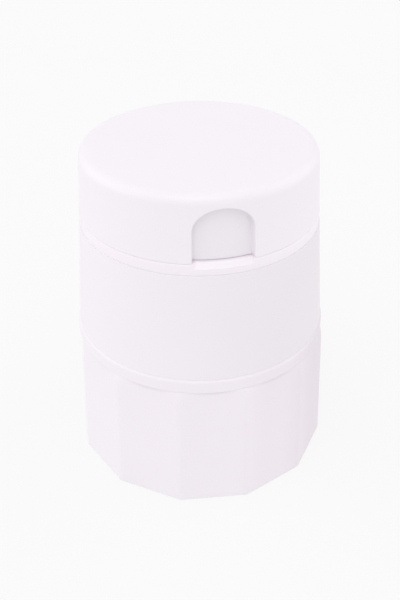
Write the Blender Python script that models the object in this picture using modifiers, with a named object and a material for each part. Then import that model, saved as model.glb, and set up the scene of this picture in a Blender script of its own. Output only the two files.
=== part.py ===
"""Pill crusher with a twist-down grinding cup, a pill store and a pill cutter under a hinged lid.

Metres, +Z up, origin at the centre of the underside. The lid's thumb recess faces -Y and the
hinge is at +Y. Every separate piece of the object is one mesh object named for what it is.
"""

import math

import bmesh
import bpy
from mathutils import Matrix, Vector

MM = 0.001
SEGMENTS = 48
SMALL_SEGMENTS = 24
SCREW_SEGMENTS = 16
MERGE = 1e-6
GAP = 0.3 * MM
OVERCUT = 1.0 * MM
OVERLAP = 0.5 * MM

# Heights of the outside, from the rim that it stands on to the top of the lid.
CUP_TOP = 40.55 * MM
STORE_BOTTOM = 40.9 * MM
STORE_TOP = 69.9 * MM
COLLAR_BOTTOM = 70.25 * MM
COLLAR_TOP = 72.95 * MM
LID_BOTTOM = 73.3 * MM
LID_TOP = 90.0 * MM

# Faceted cup.
FACETS = 12
FACET_TURN = math.radians(10)
CUP_CORNER_R = 35.8 * MM
CUP_CORNER_TOP_R = 34.35 * MM
CUP_LIP_R = 33.85 * MM
CUP_LIP_H = 3.7 * MM
CUP_LIP_STEP = 0.15 * MM
CUP_SHOULDER_H = 5.4 * MM
CUP_FOOT_CHAMFER = (0.85 * MM, 1.4 * MM)
CUP_BORE_R = 30.2 * MM
CUP_FLOOR = 3.0 * MM
FOOT_GROOVE_R = (10.0 * MM, 28.5 * MM)
FOOT_GROOVE_DEPTH = 0.8 * MM

# Screw thread between the cup and the piston: raised ribs that pass under each other.
THREAD_LEAD = 6.0 * MM
THREAD_START = 27.5 * MM
MALE_TURNS = 1.5
FEMALE_TURNS = 1.0
RIB_ROOT_HALF = 1.1 * MM
RIB_CREST_HALF = 0.6 * MM
RIB_BITE = 0.6 * MM
MALE_CREST_R = 29.75 * MM
FEMALE_CREST_R = 29.15 * MM

# Piston and the two ridged grinding plates.
PISTON_R = 28.6 * MM
PISTON_WALL = 2.0 * MM
PISTON_TOP = 42.3 * MM
PISTON_BOTTOM = 9.7 * MM
PISTON_FLOOR = 12.0 * MM
PLATE_TEETH = 24
TOOTH_H = 0.8 * MM
TOOTH_FREE_R = 6.5 * MM
TOOTH_RUNOUT = 1.0 * MM
LOWER_PLATE = {"radius": 29.6 * MM, "bottom": 3.3 * MM, "top": 4.9 * MM}
UPPER_PLATE = {"radius": 27.5 * MM, "bottom": 6.9 * MM, "top": 9.4 * MM}
PLATE_SCREW_HOLE_R = 1.65 * MM
PLATE_COUNTERBORE = {"radius": 3.5 * MM, "top": 8.5 * MM}
PLATE_SCREW_SEAT = 8.2 * MM
PLATE_SCREW = {"head_r": 3.1 * MM, "head_h": 1.4 * MM, "shank_r": 1.3 * MM, "length": 7.2 * MM}
PISTON_BOSS = {"radius": 3.4 * MM, "top": 18.0 * MM, "hole_top": 16.2 * MM}

# Store: the round middle of the body.
STORE_BOTTOM_R = 33.6 * MM
STORE_TOP_R = 31.35 * MM
STORE_WALL = 1.85 * MM
STORE_FLOOR = 45.6 * MM
STORE_UNDERSIDE = 42.6 * MM
STORE_SKIRT_R = 32.0 * MM
FLOOR_SCREW_CIRCLE = 21.0 * MM
FLOOR_SCREW_ANGLES = (45, 165, 285)
FLOOR_SCREW_SEAT = 44.1 * MM
FLOOR_SCREW = {"head_r": 2.4 * MM, "head_h": 1.35 * MM, "shank_r": 1.0 * MM, "length": 10.5 * MM}
FLOOR_HOLE_R = 1.35 * MM
FLOOR_COUNTERBORE = {"radius": 2.75 * MM, "floor": 43.8 * MM}
POST_R = 3.0 * MM
POST_HOLE_BOTTOM = 32.0 * MM
VANE_THICKNESS = 1.2 * MM
VANE_REACH = 29.3 * MM
VANE_TOP = 63.4 * MM
HUB_R = 2.6 * MM

# Cutter tray, which closes the store.
COLLAR_R = 31.2 * MM
TRAY_UNDERSIDE = 71.15 * MM
TRAY_WALL_R = 24.9 * MM
TRAY_WALL = 1.4 * MM
TRAY_WALL_TOP = 81.9 * MM
BLADE_SLOT_HALF_W = 0.8 * MM
PLUG_R = 28.95 * MM
PLUG_WALL = 2.1 * MM
PLUG_BOTTOM = 64.7 * MM
PLUG_GROOVE_R = 27.65 * MM
PLUG_GROOVE = (66.2 * MM, 68.6 * MM)
GRIP_TOP = 78.9 * MM

# Lid, its thumb recess and its hinge.
LID_R = 31.1 * MM
LID_TOP_R = 30.0 * MM
LID_WALL = 2.1 * MM
LID_EDGE = 2.5 * MM
LID_CEILING = 88.0 * MM
RECESS_HALF_W = 7.65 * MM
RECESS_TOP = 86.4 * MM
RECESS_CORNER = (7.4 * MM, 6.0 * MM)
RECESS_DEPTH = 2.2 * MM
RECESS_PANEL = 1.8 * MM
RECESS_PANEL_SIDE = 1.6 * MM
HINGE = Vector((0.0, 33.1, 73.1)) * MM
KNUCKLE_R = 1.9 * MM
KNUCKLE_SPLIT = 5.05 * MM
KNUCKLE_END = 9.6 * MM
PIN_R = 0.80 * MM
PIN_BORE_R = 0.88 * MM
KNUCKLE_GAP = 0.15 * MM

# Blade and its holder.
BLADE_T = 0.5 * MM
BLADE_Y = (-16.0 * MM, 12.0 * MM)
BLADE_EDGE = 72.4 * MM
BLADE_GRIND = 74.1 * MM
BLADE_TOP = 84.2 * MM
HOLDER_BOTTOM = 80.2 * MM
HOLDER_HALF_W = 3.2 * MM
EAR = (83.5 * MM, 85.0 * MM)
EAR_HALF_W = 3.1 * MM
HOLDER_SCREW_X = 8.5 * MM
HOLDER_SCREW_Y = -2.0 * MM
HOLDER_HOLE_R = 1.25 * MM
SCREW_BOSS_R = 2.6 * MM
BOSS_HOLE_TOP = 88.8 * MM
BLADE_SCREW = {"head_r": 1.9 * MM, "head_h": 1.3 * MM, "shank_r": 0.95 * MM, "length": 5.0 * MM}

WHITE_ABS = ("white_abs", (0.87, 0.85, 0.88), 0.32, 0.0)
FROSTED = ("frosted_plastic", (0.82, 0.82, 0.86), 0.40, 0.0)
SILICONE = ("silicone", (0.74, 0.73, 0.77), 0.60, 0.0)
STEEL = ("stainless_steel", (0.62, 0.62, 0.64), 0.25, 1.0)


def clear_scene():
    for obj in list(bpy.data.objects):
        bpy.data.objects.remove(obj, do_unlink=True)


def collection(name):
    made = bpy.data.collections.new(name)
    bpy.context.scene.collection.children.link(made)
    return made


def material(look):
    name, color, roughness, metallic = look
    made = bpy.data.materials.get(name)
    if made is None:
        made = bpy.data.materials.new(name)
        made.use_nodes = True
        shader = made.node_tree.nodes["Principled BSDF"]
        shader.inputs["Base Color"].default_value = (*color, 1.0)
        shader.inputs["Roughness"].default_value = roughness
        shader.inputs["Metallic"].default_value = metallic
    return made


def as_cutter(obj):
    """A helper shape: it cuts or joins, and isn't a piece of the object."""
    obj.hide_render = True
    obj.display_type = "WIRE"
    CUTTERS.objects.link(obj)
    return obj


def as_part(obj, look):
    obj.data.materials.append(material(look))
    PARTS.objects.link(obj)
    return obj


def boolean(target, tool, operation):
    modifier = target.modifiers.new(tool.name, "BOOLEAN")
    modifier.operation = operation
    modifier.object = tool
    modifier.solver = "EXACT"


def cut(target, *tools):
    for tool in tools:
        boolean(target, as_cutter(tool), "DIFFERENCE")


def join(target, *tools):
    for tool in tools:
        boolean(target, as_cutter(tool), "UNION")


def rounded(corners, arc_steps=2):
    """Profile points from (radius, height[, fillet]) corners, with each fillet as an arc."""
    points = []
    for index, corner in enumerate(corners):
        place = Vector(corner[:2])
        fillet = corner[2] if len(corner) > 2 else 0.0
        if not fillet:
            points.append(place)
            continue
        to_last = (Vector(corners[index - 1][:2]) - place).normalized()
        to_next = (Vector(corners[(index + 1) % len(corners)][:2]) - place).normalized()
        half = to_last.angle(to_next) / 2
        centre = place + (to_last + to_next).normalized() * fillet / math.sin(half)
        first = place + to_last * fillet / math.tan(half) - centre
        last = place + to_next * fillet / math.tan(half) - centre
        sweep = first.angle(last)
        for step in range(arc_steps + 1):
            share = step / arc_steps
            arm = first * math.sin((1 - share) * sweep) + last * math.sin(share * sweep)
            points.append(centre + arm / math.sin(sweep))
    return points


def profile_object(name, points, closed):
    """The profile as a chain of edges in the XZ plane."""
    count = len(points)
    edges = [(i, (i + 1) % count) for i in range(count if closed else count - 1)]
    mesh = bpy.data.meshes.new(name)
    mesh.from_pydata([(x, 0.0, z) for x, z in points], edges, [])
    return bpy.data.objects.new(name, mesh)


def turned(name, corners, closed=False, steps=SEGMENTS, arc_steps=2):
    """A solid of revolution. An open profile starts and ends on the axis."""
    obj = profile_object(name, rounded(corners, arc_steps), closed)
    screw = obj.modifiers.new("turn", "SCREW")
    screw.steps = steps
    screw.render_steps = steps
    screw.use_merge_vertices = True
    screw.merge_threshold = MERGE
    screw.use_smooth_shade = True
    return obj


def cylinder(name, radius, bottom, top, centre=(0.0, 0.0), steps=SMALL_SEGMENTS):
    obj = turned(name, [(0.0, top), (radius, top), (radius, bottom), (0.0, bottom)], steps=steps)
    obj.location = (*centre, 0.0)
    return obj


def cross_cylinder(name, radius, x_low, x_high, centre=HINGE):
    """A cylinder along X through centre."""
    mesh = bpy.data.meshes.new(name)
    shape = bmesh.new()
    bmesh.ops.create_cone(
        shape, cap_ends=True, segments=SMALL_SEGMENTS, radius1=radius, radius2=radius, depth=x_high - x_low
    )
    shape.to_mesh(mesh)
    shape.free()
    middle = Vector(((x_low + x_high) / 2, centre.y, centre.z))
    mesh.transform(Matrix.Translation(middle) @ Matrix.Rotation(math.pi / 2, 4, "Y"))
    return bpy.data.objects.new(name, mesh)


def box(name, low, high, bevel=0.0):
    low, high = Vector(low), Vector(high)
    mesh = bpy.data.meshes.new(name)
    shape = bmesh.new()
    bmesh.ops.create_cube(shape, size=1.0)
    bmesh.ops.transform(shape, matrix=Matrix.Diagonal((*(high - low), 1.0)), verts=shape.verts)
    bmesh.ops.translate(shape, vec=(low + high) / 2, verts=shape.verts)
    if bevel:
        bmesh.ops.bevel(shape, geom=shape.edges[:], offset=bevel, segments=2, profile=0.5, affect="EDGES")
    shape.to_mesh(mesh)
    shape.free()
    return bpy.data.objects.new(name, mesh)


def slab(name, outline, low, high, to_world=None):
    """A flat outline, made thick from low to high along its own Z, then placed by a matrix."""
    curve = bpy.data.curves.new(name, "CURVE")
    curve.dimensions = "2D"
    curve.fill_mode = "BOTH"
    curve.extrude = (high - low) / 2
    spline = curve.splines.new("POLY")
    spline.points.add(len(outline) - 1)
    for point, (x, y) in zip(spline.points, outline):
        point.co = (x, y, 0.0, 1.0)
    spline.use_cyclic_u = True
    drawn = bpy.data.objects.new(name + "_outline", curve)
    mesh = evaluated_mesh(drawn)
    shape = bmesh.new()
    shape.from_mesh(mesh)
    bmesh.ops.remove_doubles(shape, verts=shape.verts, dist=MERGE)
    bmesh.ops.translate(shape, vec=(0.0, 0.0, (low + high) / 2), verts=shape.verts)
    if to_world is not None:
        bmesh.ops.transform(shape, matrix=to_world, verts=shape.verts)
    bmesh.ops.recalc_face_normals(shape, faces=shape.faces)
    shape.to_mesh(mesh)
    shape.free()
    return bpy.data.objects.new(name, mesh)


def evaluated_mesh(obj):
    """The object's mesh after its modifiers, with the object itself removed."""
    bpy.context.scene.collection.objects.link(obj)
    graph = bpy.context.evaluated_depsgraph_get()
    mesh = bpy.data.meshes.new_from_object(obj.evaluated_get(graph))
    mesh.name = obj.name
    bpy.data.objects.remove(obj, do_unlink=True)
    return mesh


def helical_rib(name, root_r, crest_r, start_z, turns):
    """A screw thread's rib: a trapezium carried along a right-hand helix and closed at both ends."""
    section = [
        Vector((root_r, -RIB_ROOT_HALF)),
        Vector((root_r, RIB_ROOT_HALF)),
        Vector((crest_r, RIB_CREST_HALF)),
        Vector((crest_r, -RIB_CREST_HALF)),
    ]
    drawn = profile_object(name, section, closed=True)
    screw = drawn.modifiers.new("helix", "SCREW")
    screw.angle = math.tau * turns
    screw.screw_offset = THREAD_LEAD * turns
    screw.steps = round(SEGMENTS * turns)
    screw.render_steps = screw.steps
    screw.use_merge_vertices = False
    mesh = evaluated_mesh(drawn)
    shape = bmesh.new()
    shape.from_mesh(mesh)
    open_edges = [edge for edge in shape.edges if edge.is_boundary]
    bmesh.ops.holes_fill(shape, edges=open_edges, sides=0)
    bmesh.ops.translate(shape, vec=(0.0, 0.0, start_z), verts=shape.verts)
    bmesh.ops.recalc_face_normals(shape, faces=shape.faces)
    shape.to_mesh(mesh)
    shape.free()
    return bpy.data.objects.new(name, mesh)


def screw_part(name, place, pointing_up, head_r, head_h, shank_r, length):
    """A pan-head screw with a cross recess. place is the middle of the head's bearing face."""
    recess = head_h * 0.55
    bit = head_r * 0.55
    body = turned(
        name,
        [
            (0.0, head_h),
            (head_r, head_h, head_h * 0.4),
            (head_r, 0.0),
            (shank_r, 0.0),
            (shank_r, -length + shank_r),
            (shank_r * 0.35, -length),
            (0.0, -length),
        ],
        steps=SCREW_SEGMENTS,
        arc_steps=1,
    )
    half = head_r * 0.13
    blades = box(name + "_slot_x", (-bit, -half, head_h - recess), (bit, half, head_h * 2))
    across = box(name + "_slot_y", (-half, -bit, head_h - recess), (half, bit, head_h * 2))
    flip = math.pi if pointing_up else 0.0
    for piece in (body, blades, across):
        piece.location = place
        piece.rotation_euler = (flip, 0.0, 0.0)
    cut(body, blades, across)
    return as_part(body, STEEL)


def toothed_plate(name, radius, bottom, top, teeth_up):
    """A round steel plate with radial teeth on one face and a plain middle."""
    thickness = top - bottom
    mesh = bpy.data.meshes.new(name)
    shape = bmesh.new()
    bmesh.ops.create_cone(
        shape, cap_ends=True, segments=2 * PLATE_TEETH, radius1=radius, radius2=radius, depth=thickness
    )
    face = max(shape.faces, key=lambda each: each.calc_center_median().z)
    for width in (radius - TOOTH_FREE_R, TOOTH_RUNOUT):
        bmesh.ops.inset_region(shape, faces=[face], thickness=width, use_even_offset=True)
    half_pitch = math.pi / PLATE_TEETH
    for vert in shape.verts:
        toothed = vert.co.z > 0.0 and vert.co.xy.length > TOOTH_FREE_R - TOOTH_RUNOUT / 2
        if toothed and round(math.atan2(vert.co.y, vert.co.x) / half_pitch) % 2 == 0:
            vert.co.z += TOOTH_H
    side = Matrix.Identity(4) if teeth_up else Matrix.Rotation(math.pi, 4, "X")
    bmesh.ops.transform(shape, matrix=side, verts=shape.verts)
    bmesh.ops.translate(shape, vec=(0.0, 0.0, (bottom + top) / 2), verts=shape.verts)
    bmesh.ops.recalc_face_normals(shape, faces=shape.faces)
    shape.to_mesh(mesh)
    shape.free()
    return as_part(bpy.data.objects.new(name, mesh), STEEL)


def arch(half_width, bottom, top, corner, steps=8):
    """A D-shaped outline: straight sides and elliptical upper corners."""
    across, rise = corner
    points = [(half_width, bottom)]
    for side in (1, -1):
        for step in range(steps + 1):
            turn = math.pi / 2 * (step if side > 0 else steps - step) / steps
            x = side * (half_width - across + across * math.cos(turn))
            points.append((x, top - rise + rise * math.sin(turn)))
    points.append((-half_width, bottom))
    return points


def base_cup():
    """Twelve-sided cup: the facets end in low arches under a round lip."""
    lip_bottom = CUP_TOP - CUP_LIP_H
    facet_top = lip_bottom + 2 * OVERLAP
    draft = (CUP_CORNER_R - CUP_CORNER_TOP_R) / lip_bottom
    prism_mesh = bpy.data.meshes.new("cup_facets")
    shape = bmesh.new()
    bmesh.ops.create_cone(
        shape,
        cap_ends=True,
        segments=FACETS,
        radius1=CUP_CORNER_R,
        radius2=CUP_CORNER_R - draft * facet_top,
        depth=facet_top,
    )
    bmesh.ops.translate(shape, vec=(0.0, 0.0, facet_top / 2), verts=shape.verts)
    shape.to_mesh(prism_mesh)
    shape.free()
    cup = bpy.data.objects.new("base_cup", prism_mesh)
    shoulder_r = CUP_LIP_R - CUP_LIP_STEP
    wide = CUP_CORNER_R + OVERCUT
    envelope = turned(
        "cup_envelope",
        [
            (0.0, lip_bottom + OVERLAP),
            (shoulder_r, lip_bottom + OVERLAP),
            (shoulder_r, lip_bottom - OVERLAP),
            (wide, lip_bottom - OVERLAP - CUP_SHOULDER_H),
            (wide, -OVERCUT),
            (0.0, -OVERCUT),
        ],
    )
    chamfer_w, chamfer_h = CUP_FOOT_CHAMFER
    slope = chamfer_w / chamfer_h
    foot_edge = turned(
        "cup_foot_edge",
        [
            (0.0, facet_top + OVERCUT),
            (wide, facet_top + OVERCUT),
            (wide, chamfer_h + OVERCUT / slope),
            (CUP_CORNER_R - chamfer_w - OVERCUT * slope, -OVERCUT),
            (0.0, -OVERCUT),
        ],
    )
    lip = turned(
        "cup_lip",
        [
            (0.0, CUP_TOP),
            (CUP_LIP_R, CUP_TOP, 0.9 * MM),
            (CUP_LIP_R, lip_bottom),
            (0.0, lip_bottom),
        ],
    )
    bore = cylinder("cup_bore", CUP_BORE_R, CUP_FLOOR, CUP_TOP + OVERCUT, steps=SEGMENTS)
    low, high = FOOT_GROOVE_R
    groove = turned(
        "cup_foot_groove",
        [
            (high, FOOT_GROOVE_DEPTH),
            (high, -OVERCUT),
            (low, -OVERCUT),
            (low, FOOT_GROOVE_DEPTH),
        ],
        closed=True,
    )
    rib = helical_rib(
        "cup_thread",
        CUP_BORE_R + RIB_BITE,
        FEMALE_CREST_R,
        THREAD_START + THREAD_LEAD / 2,
        FEMALE_TURNS,
    )
    cup.rotation_euler = (0.0, 0.0, FACET_TURN)
    boolean(cup, as_cutter(envelope), "INTERSECT")
    boolean(cup, as_cutter(foot_edge), "INTERSECT")
    join(cup, lip)
    cut(cup, bore, groove)
    join(cup, rib)
    return as_part(cup, WHITE_ABS)


def grinding_plate():
    return toothed_plate("grinding_plate", teeth_up=True, **LOWER_PLATE)


def cup_seal():
    """Silicone ring between the cup's lip and the store's underside."""
    inner, outer = CUP_BORE_R + GAP, STORE_SKIRT_R - GAP
    low, high = CUP_TOP + GAP, STORE_UNDERSIDE - GAP
    corners = [
        (outer, high, 0.4 * MM),
        (outer, low, 0.4 * MM),
        (inner, low, 0.4 * MM),
        (inner, high, 0.4 * MM),
    ]
    return as_part(turned("cup_seal", corners, closed=True, arc_steps=1), SILICONE)


def floor_screw_places():
    for angle in FLOOR_SCREW_ANGLES:
        turn = math.radians(angle)
        yield FLOOR_SCREW_CIRCLE * math.cos(turn), FLOOR_SCREW_CIRCLE * math.sin(turn)


def screw_piston():
    """Hollow threaded plunger with screw posts, open at the top where the store covers it."""
    inner = PISTON_R - PISTON_WALL
    boss_r, boss_top = PISTON_BOSS["radius"], PISTON_BOSS["top"]
    piston = turned(
        "screw_piston",
        [
            (0.0, boss_top),
            (boss_r, boss_top),
            (boss_r, PISTON_FLOOR),
            (inner, PISTON_FLOOR, 1.0 * MM),
            (inner, PISTON_TOP),
            (PISTON_R, PISTON_TOP),
            (PISTON_R, PISTON_BOTTOM, 0.8 * MM),
            (0.0, PISTON_BOTTOM),
        ],
    )
    join(piston, helical_rib("piston_thread", PISTON_R - RIB_BITE, MALE_CREST_R, THREAD_START, MALE_TURNS))
    for number, place in enumerate(floor_screw_places(), 1):
        join(piston, cylinder(f"piston_post_{number}", POST_R, PISTON_FLOOR - OVERLAP, PISTON_TOP, place))
    for number, place in enumerate(floor_screw_places(), 1):
        hole_top = PISTON_TOP + OVERCUT
        cut(piston, cylinder(f"piston_post_hole_{number}", FLOOR_HOLE_R, POST_HOLE_BOTTOM, hole_top, place))
    bottom = PISTON_BOTTOM - OVERCUT
    cut(piston, cylinder("piston_plate_hole", PLATE_SCREW_HOLE_R, bottom, PISTON_BOSS["hole_top"]))
    return as_part(piston, WHITE_ABS)


def crushing_plate():
    """Upper toothed plate, counterbored from below for its screw."""
    plate = toothed_plate("crushing_plate", teeth_up=False, **UPPER_PLATE)
    low, high = UPPER_PLATE["bottom"] - OVERCUT, UPPER_PLATE["top"] + OVERCUT
    cut(plate, cylinder("plate_hole", PLATE_SCREW_HOLE_R, low, high))
    cut(plate, cylinder("plate_counterbore", PLATE_COUNTERBORE["radius"], low, PLATE_COUNTERBORE["top"]))
    return plate


def plate_screw():
    seat = Vector((0.0, 0.0, PLATE_SCREW_SEAT))
    screw_part("crushing_plate_screw", seat, pointing_up=True, **PLATE_SCREW)


def piston_screws():
    for number, (x, y) in enumerate(floor_screw_places(), 1):
        place = Vector((x, y, FLOOR_SCREW_SEAT))
        screw_part(f"piston_screw_{number}", place, pointing_up=False, **FLOOR_SCREW)


def store_radius(height):
    """Outside radius of the store at a height: a straight flare."""
    share = (height - STORE_BOTTOM) / (STORE_TOP - STORE_BOTTOM)
    return STORE_BOTTOM_R + (STORE_TOP_R - STORE_BOTTOM_R) * share


def middle_shell():
    """Round, flared store whose floor carries the piston and whose skirt covers the seal."""
    shell = turned(
        "middle_shell",
        [
            (0.0, STORE_FLOOR),
            (store_radius(STORE_FLOOR) - STORE_WALL, STORE_FLOOR, 1.0 * MM),
            (store_radius(STORE_TOP) - STORE_WALL, STORE_TOP),
            (STORE_TOP_R, STORE_TOP, 0.5 * MM),
            (STORE_BOTTOM_R, STORE_BOTTOM, 0.5 * MM),
            (STORE_SKIRT_R, STORE_BOTTOM),
            (STORE_SKIRT_R, STORE_UNDERSIDE),
            (0.0, STORE_UNDERSIDE),
        ],
    )
    hole_bottom, hole_top = STORE_UNDERSIDE - OVERCUT, STORE_FLOOR + OVERCUT
    wide, seat = FLOOR_COUNTERBORE["radius"], FLOOR_COUNTERBORE["floor"]
    for number, place in enumerate(floor_screw_places(), 1):
        cut(shell, cylinder(f"floor_hole_{number}", FLOOR_HOLE_R, hole_bottom, hole_top, place))
        cut(shell, cylinder(f"floor_counterbore_{number}", wide, seat, hole_top, place))
    return as_part(shell, WHITE_ABS)


def storage_divider():
    """Cross of four vanes on a round hub, standing on the store's floor."""
    bottom = STORE_FLOOR + GAP
    half = VANE_THICKNESS / 2
    hub = cylinder("storage_divider", HUB_R, bottom, VANE_TOP)
    low, high, reach = bottom + OVERLAP / 10, VANE_TOP - OVERLAP, VANE_REACH
    join(
        hub,
        box("vane_x", (-reach, -half, low), (reach, half, high)),
        box("vane_y", (-half, -reach, low), (half, reach, high)),
    )
    return as_part(hub, FROSTED)


def cutter_tray():
    """Collar and floor of the cutter, with a plug below that closes the store."""
    wall_inner = TRAY_WALL_R - TRAY_WALL
    plug_inner = PLUG_R - PLUG_WALL
    groove_low, groove_high = PLUG_GROOVE
    tray = turned(
        "cutter_tray",
        [
            (0.0, COLLAR_TOP),
            (wall_inner, COLLAR_TOP, 0.5 * MM),
            (wall_inner, TRAY_WALL_TOP),
            (TRAY_WALL_R, TRAY_WALL_TOP, 0.4 * MM),
            (TRAY_WALL_R, COLLAR_TOP),
            (COLLAR_R, COLLAR_TOP, 0.8 * MM),
            (COLLAR_R, COLLAR_BOTTOM, 0.4 * MM),
            (PLUG_R, COLLAR_BOTTOM),
            (PLUG_R, groove_high),
            (PLUG_GROOVE_R, groove_high),
            (PLUG_GROOVE_R, groove_low),
            (PLUG_R, groove_low),
            (PLUG_R, PLUG_BOTTOM, 0.4 * MM),
            (plug_inner, PLUG_BOTTOM),
            (plug_inner, TRAY_UNDERSIDE),
            (0.0, TRAY_UNDERSIDE),
        ],
    )
    front, back = BLADE_Y
    slot = box(
        "blade_slot",
        (-BLADE_SLOT_HALF_W, front - OVERCUT, BLADE_EDGE - GAP),
        (BLADE_SLOT_HALF_W, back + OVERCUT, COLLAR_TOP + OVERCUT),
    )
    relief_half = KNUCKLE_SPLIT + KNUCKLE_GAP
    relief = box(
        "knuckle_relief",
        (-relief_half, HINGE.y - KNUCKLE_R - GAP, COLLAR_BOTTOM - OVERCUT),
        (relief_half, HINGE.y + OVERCUT, COLLAR_TOP + OVERCUT),
    )
    cut(tray, slot, relief)
    for side_name, sign in (("left", -1), ("right", 1)):
        low, high = sorted((sign * (KNUCKLE_SPLIT + KNUCKLE_GAP), sign * KNUCKLE_END))
        arm = box(
            f"tray_arm_{side_name}",
            (low + KNUCKLE_GAP, PLUG_R - OVERLAP, HINGE.z - KNUCKLE_R + 0.1 * MM),
            (high - KNUCKLE_GAP, HINGE.y, COLLAR_TOP - 0.1 * MM),
        )
        join(tray, arm, cross_cylinder(f"tray_knuckle_{side_name}", KNUCKLE_R, low, high))
    bore_end = KNUCKLE_END + OVERCUT
    cut(tray, cross_cylinder("tray_pin_bore", PIN_BORE_R, -bore_end, bore_end))
    return as_part(tray, WHITE_ABS)


def tray_seal():
    """Silicone ring in the plug's groove."""
    low, high = PLUG_GROOVE
    inner, outer = PLUG_GROOVE_R + GAP, PLUG_R + 0.35 * MM
    corners = [
        (outer, high - GAP, 0.4 * MM),
        (outer, low + GAP, 0.4 * MM),
        (inner, low + GAP, 0.3 * MM),
        (inner, high - GAP, 0.3 * MM),
    ]
    return as_part(turned("tray_seal", corners, closed=True, arc_steps=1), SILICONE)


def pill_grips():
    """Two jaws that form a V open to the front, with the blade's path between them."""
    outline = [
        (0.9, 8.0),
        (0.9, 12.5),
        (2.2, 14.0),
        (11.0, 14.0),
        (16.0, 6.5),
        (16.0, -7.0),
        (13.6, -12.0),
        (10.0, -12.0),
    ]
    for name, sign in (("pill_grip_left", -1), ("pill_grip_right", 1)):
        points = [(sign * x * MM, y * MM) for x, y in outline]
        grip = slab(name, points, COLLAR_TOP + GAP, GRIP_TOP)
        bevel = grip.modifiers.new("soft_edges", "BEVEL")
        bevel.width = 0.45 * MM
        bevel.segments = 2
        bevel.limit_method = "ANGLE"
        as_part(grip, SILICONE)


def hinge_pin():
    reach = KNUCKLE_END - 0.1 * MM
    return as_part(cross_cylinder("hinge_pin", PIN_R, -reach, reach), STEEL)


def lid_radius(height):
    """Outside radius of the lid's skirt at a height: it goes on with the store's flare."""
    share = (height - LID_BOTTOM) / (LID_TOP - LID_BOTTOM)
    return LID_R + (LID_TOP_R - LID_R) * share


def lid_shell():
    """Flat-topped round cap with a D-shaped thumb recess at the front and a knuckle at the back."""
    lid = turned(
        "lid_shell",
        [
            (0.0, LID_TOP),
            (LID_TOP_R, LID_TOP, LID_EDGE),
            (LID_R, LID_BOTTOM, 0.4 * MM),
            (LID_R - LID_WALL, LID_BOTTOM),
            (lid_radius(LID_CEILING) - LID_WALL, LID_CEILING, 0.8 * MM),
            (0.0, LID_CEILING),
        ],
    )
    upright = Matrix.Rotation(math.pi / 2, 4, "X")
    recess = slab(
        "thumb_recess",
        arch(RECESS_HALF_W, LID_BOTTOM - 2.0 * MM, RECESS_TOP, RECESS_CORNER),
        LID_R - 5.0 * MM,
        LID_R + 2.0 * MM,
        upright,
    )
    cut(lid, recess)
    panel_top, panel_bottom = LID_CEILING + OVERLAP, LID_BOTTOM + 0.1 * MM
    top_r, bottom_r = (lid_radius(height) - RECESS_DEPTH for height in (panel_top, panel_bottom))
    panel = turned(
        "recess_panel",
        [
            (top_r, panel_top),
            (bottom_r, panel_bottom),
            (bottom_r - RECESS_PANEL, panel_bottom),
            (top_r - RECESS_PANEL, panel_top),
        ],
        closed=True,
    )
    panel_half = RECESS_HALF_W + RECESS_PANEL_SIDE
    window = box(
        "recess_panel_window",
        (-panel_half, -LID_R - OVERCUT, LID_BOTTOM - OVERCUT),
        (panel_half, 0.0, LID_TOP),
    )
    boolean(panel, as_cutter(window), "INTERSECT")
    knuckle_end = KNUCKLE_SPLIT - KNUCKLE_GAP
    knuckle = cross_cylinder("lid_knuckle", KNUCKLE_R, -knuckle_end, knuckle_end)
    arm_end = knuckle_end - KNUCKLE_GAP
    arm = box(
        "lid_arm",
        (-arm_end, LID_R - LID_WALL + OVERLAP, LID_BOTTOM + 0.1 * MM),
        (arm_end, HINGE.y, HINGE.z + KNUCKLE_R - 0.1 * MM),
    )
    join(lid, panel, arm, knuckle)
    for side, sign in (("left", -1), ("right", 1)):
        place = (sign * HOLDER_SCREW_X, HOLDER_SCREW_Y)
        join(lid, cylinder(f"screw_boss_{side}", SCREW_BOSS_R, EAR[1] + GAP, LID_CEILING + OVERLAP, place))
    for side, sign in (("left", -1), ("right", 1)):
        place = (sign * HOLDER_SCREW_X, HOLDER_SCREW_Y)
        cut(lid, cylinder(f"boss_hole_{side}", HOLDER_HOLE_R, EAR[1] - OVERCUT, BOSS_HOLE_TOP, place))
    bore_end = KNUCKLE_SPLIT + OVERCUT
    cut(lid, cross_cylinder("lid_pin_bore", PIN_BORE_R, -bore_end, bore_end))
    return as_part(lid, WHITE_ABS)


def blade_holder():
    """Block under the lid that carries the blade in a slot, with an ear on each side."""
    front, back = BLADE_Y
    block = box(
        "blade_holder",
        (-HOLDER_HALF_W, front - 2.0 * MM, HOLDER_BOTTOM),
        (HOLDER_HALF_W, back + 2.0 * MM, LID_CEILING - GAP),
        bevel=0.5 * MM,
    )
    ears = box(
        "holder_ears",
        (-HOLDER_SCREW_X - EAR_HALF_W, HOLDER_SCREW_Y - EAR_HALF_W, EAR[0]),
        (HOLDER_SCREW_X + EAR_HALF_W, HOLDER_SCREW_Y + EAR_HALF_W, EAR[1]),
        bevel=0.3 * MM,
    )
    join(block, ears)
    slot_half = BLADE_T / 2 + GAP
    cut(
        block,
        box(
            "holder_slot",
            (-slot_half, front - GAP, HOLDER_BOTTOM - OVERCUT),
            (slot_half, back + GAP, BLADE_TOP + GAP),
        ),
    )
    for side, sign in (("left", -1), ("right", 1)):
        place = (sign * HOLDER_SCREW_X, HOLDER_SCREW_Y)
        cut(block, cylinder(f"ear_hole_{side}", HOLDER_HOLE_R, EAR[0] - OVERCUT, EAR[1] + OVERCUT, place))
    return as_part(block, WHITE_ABS)


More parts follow.
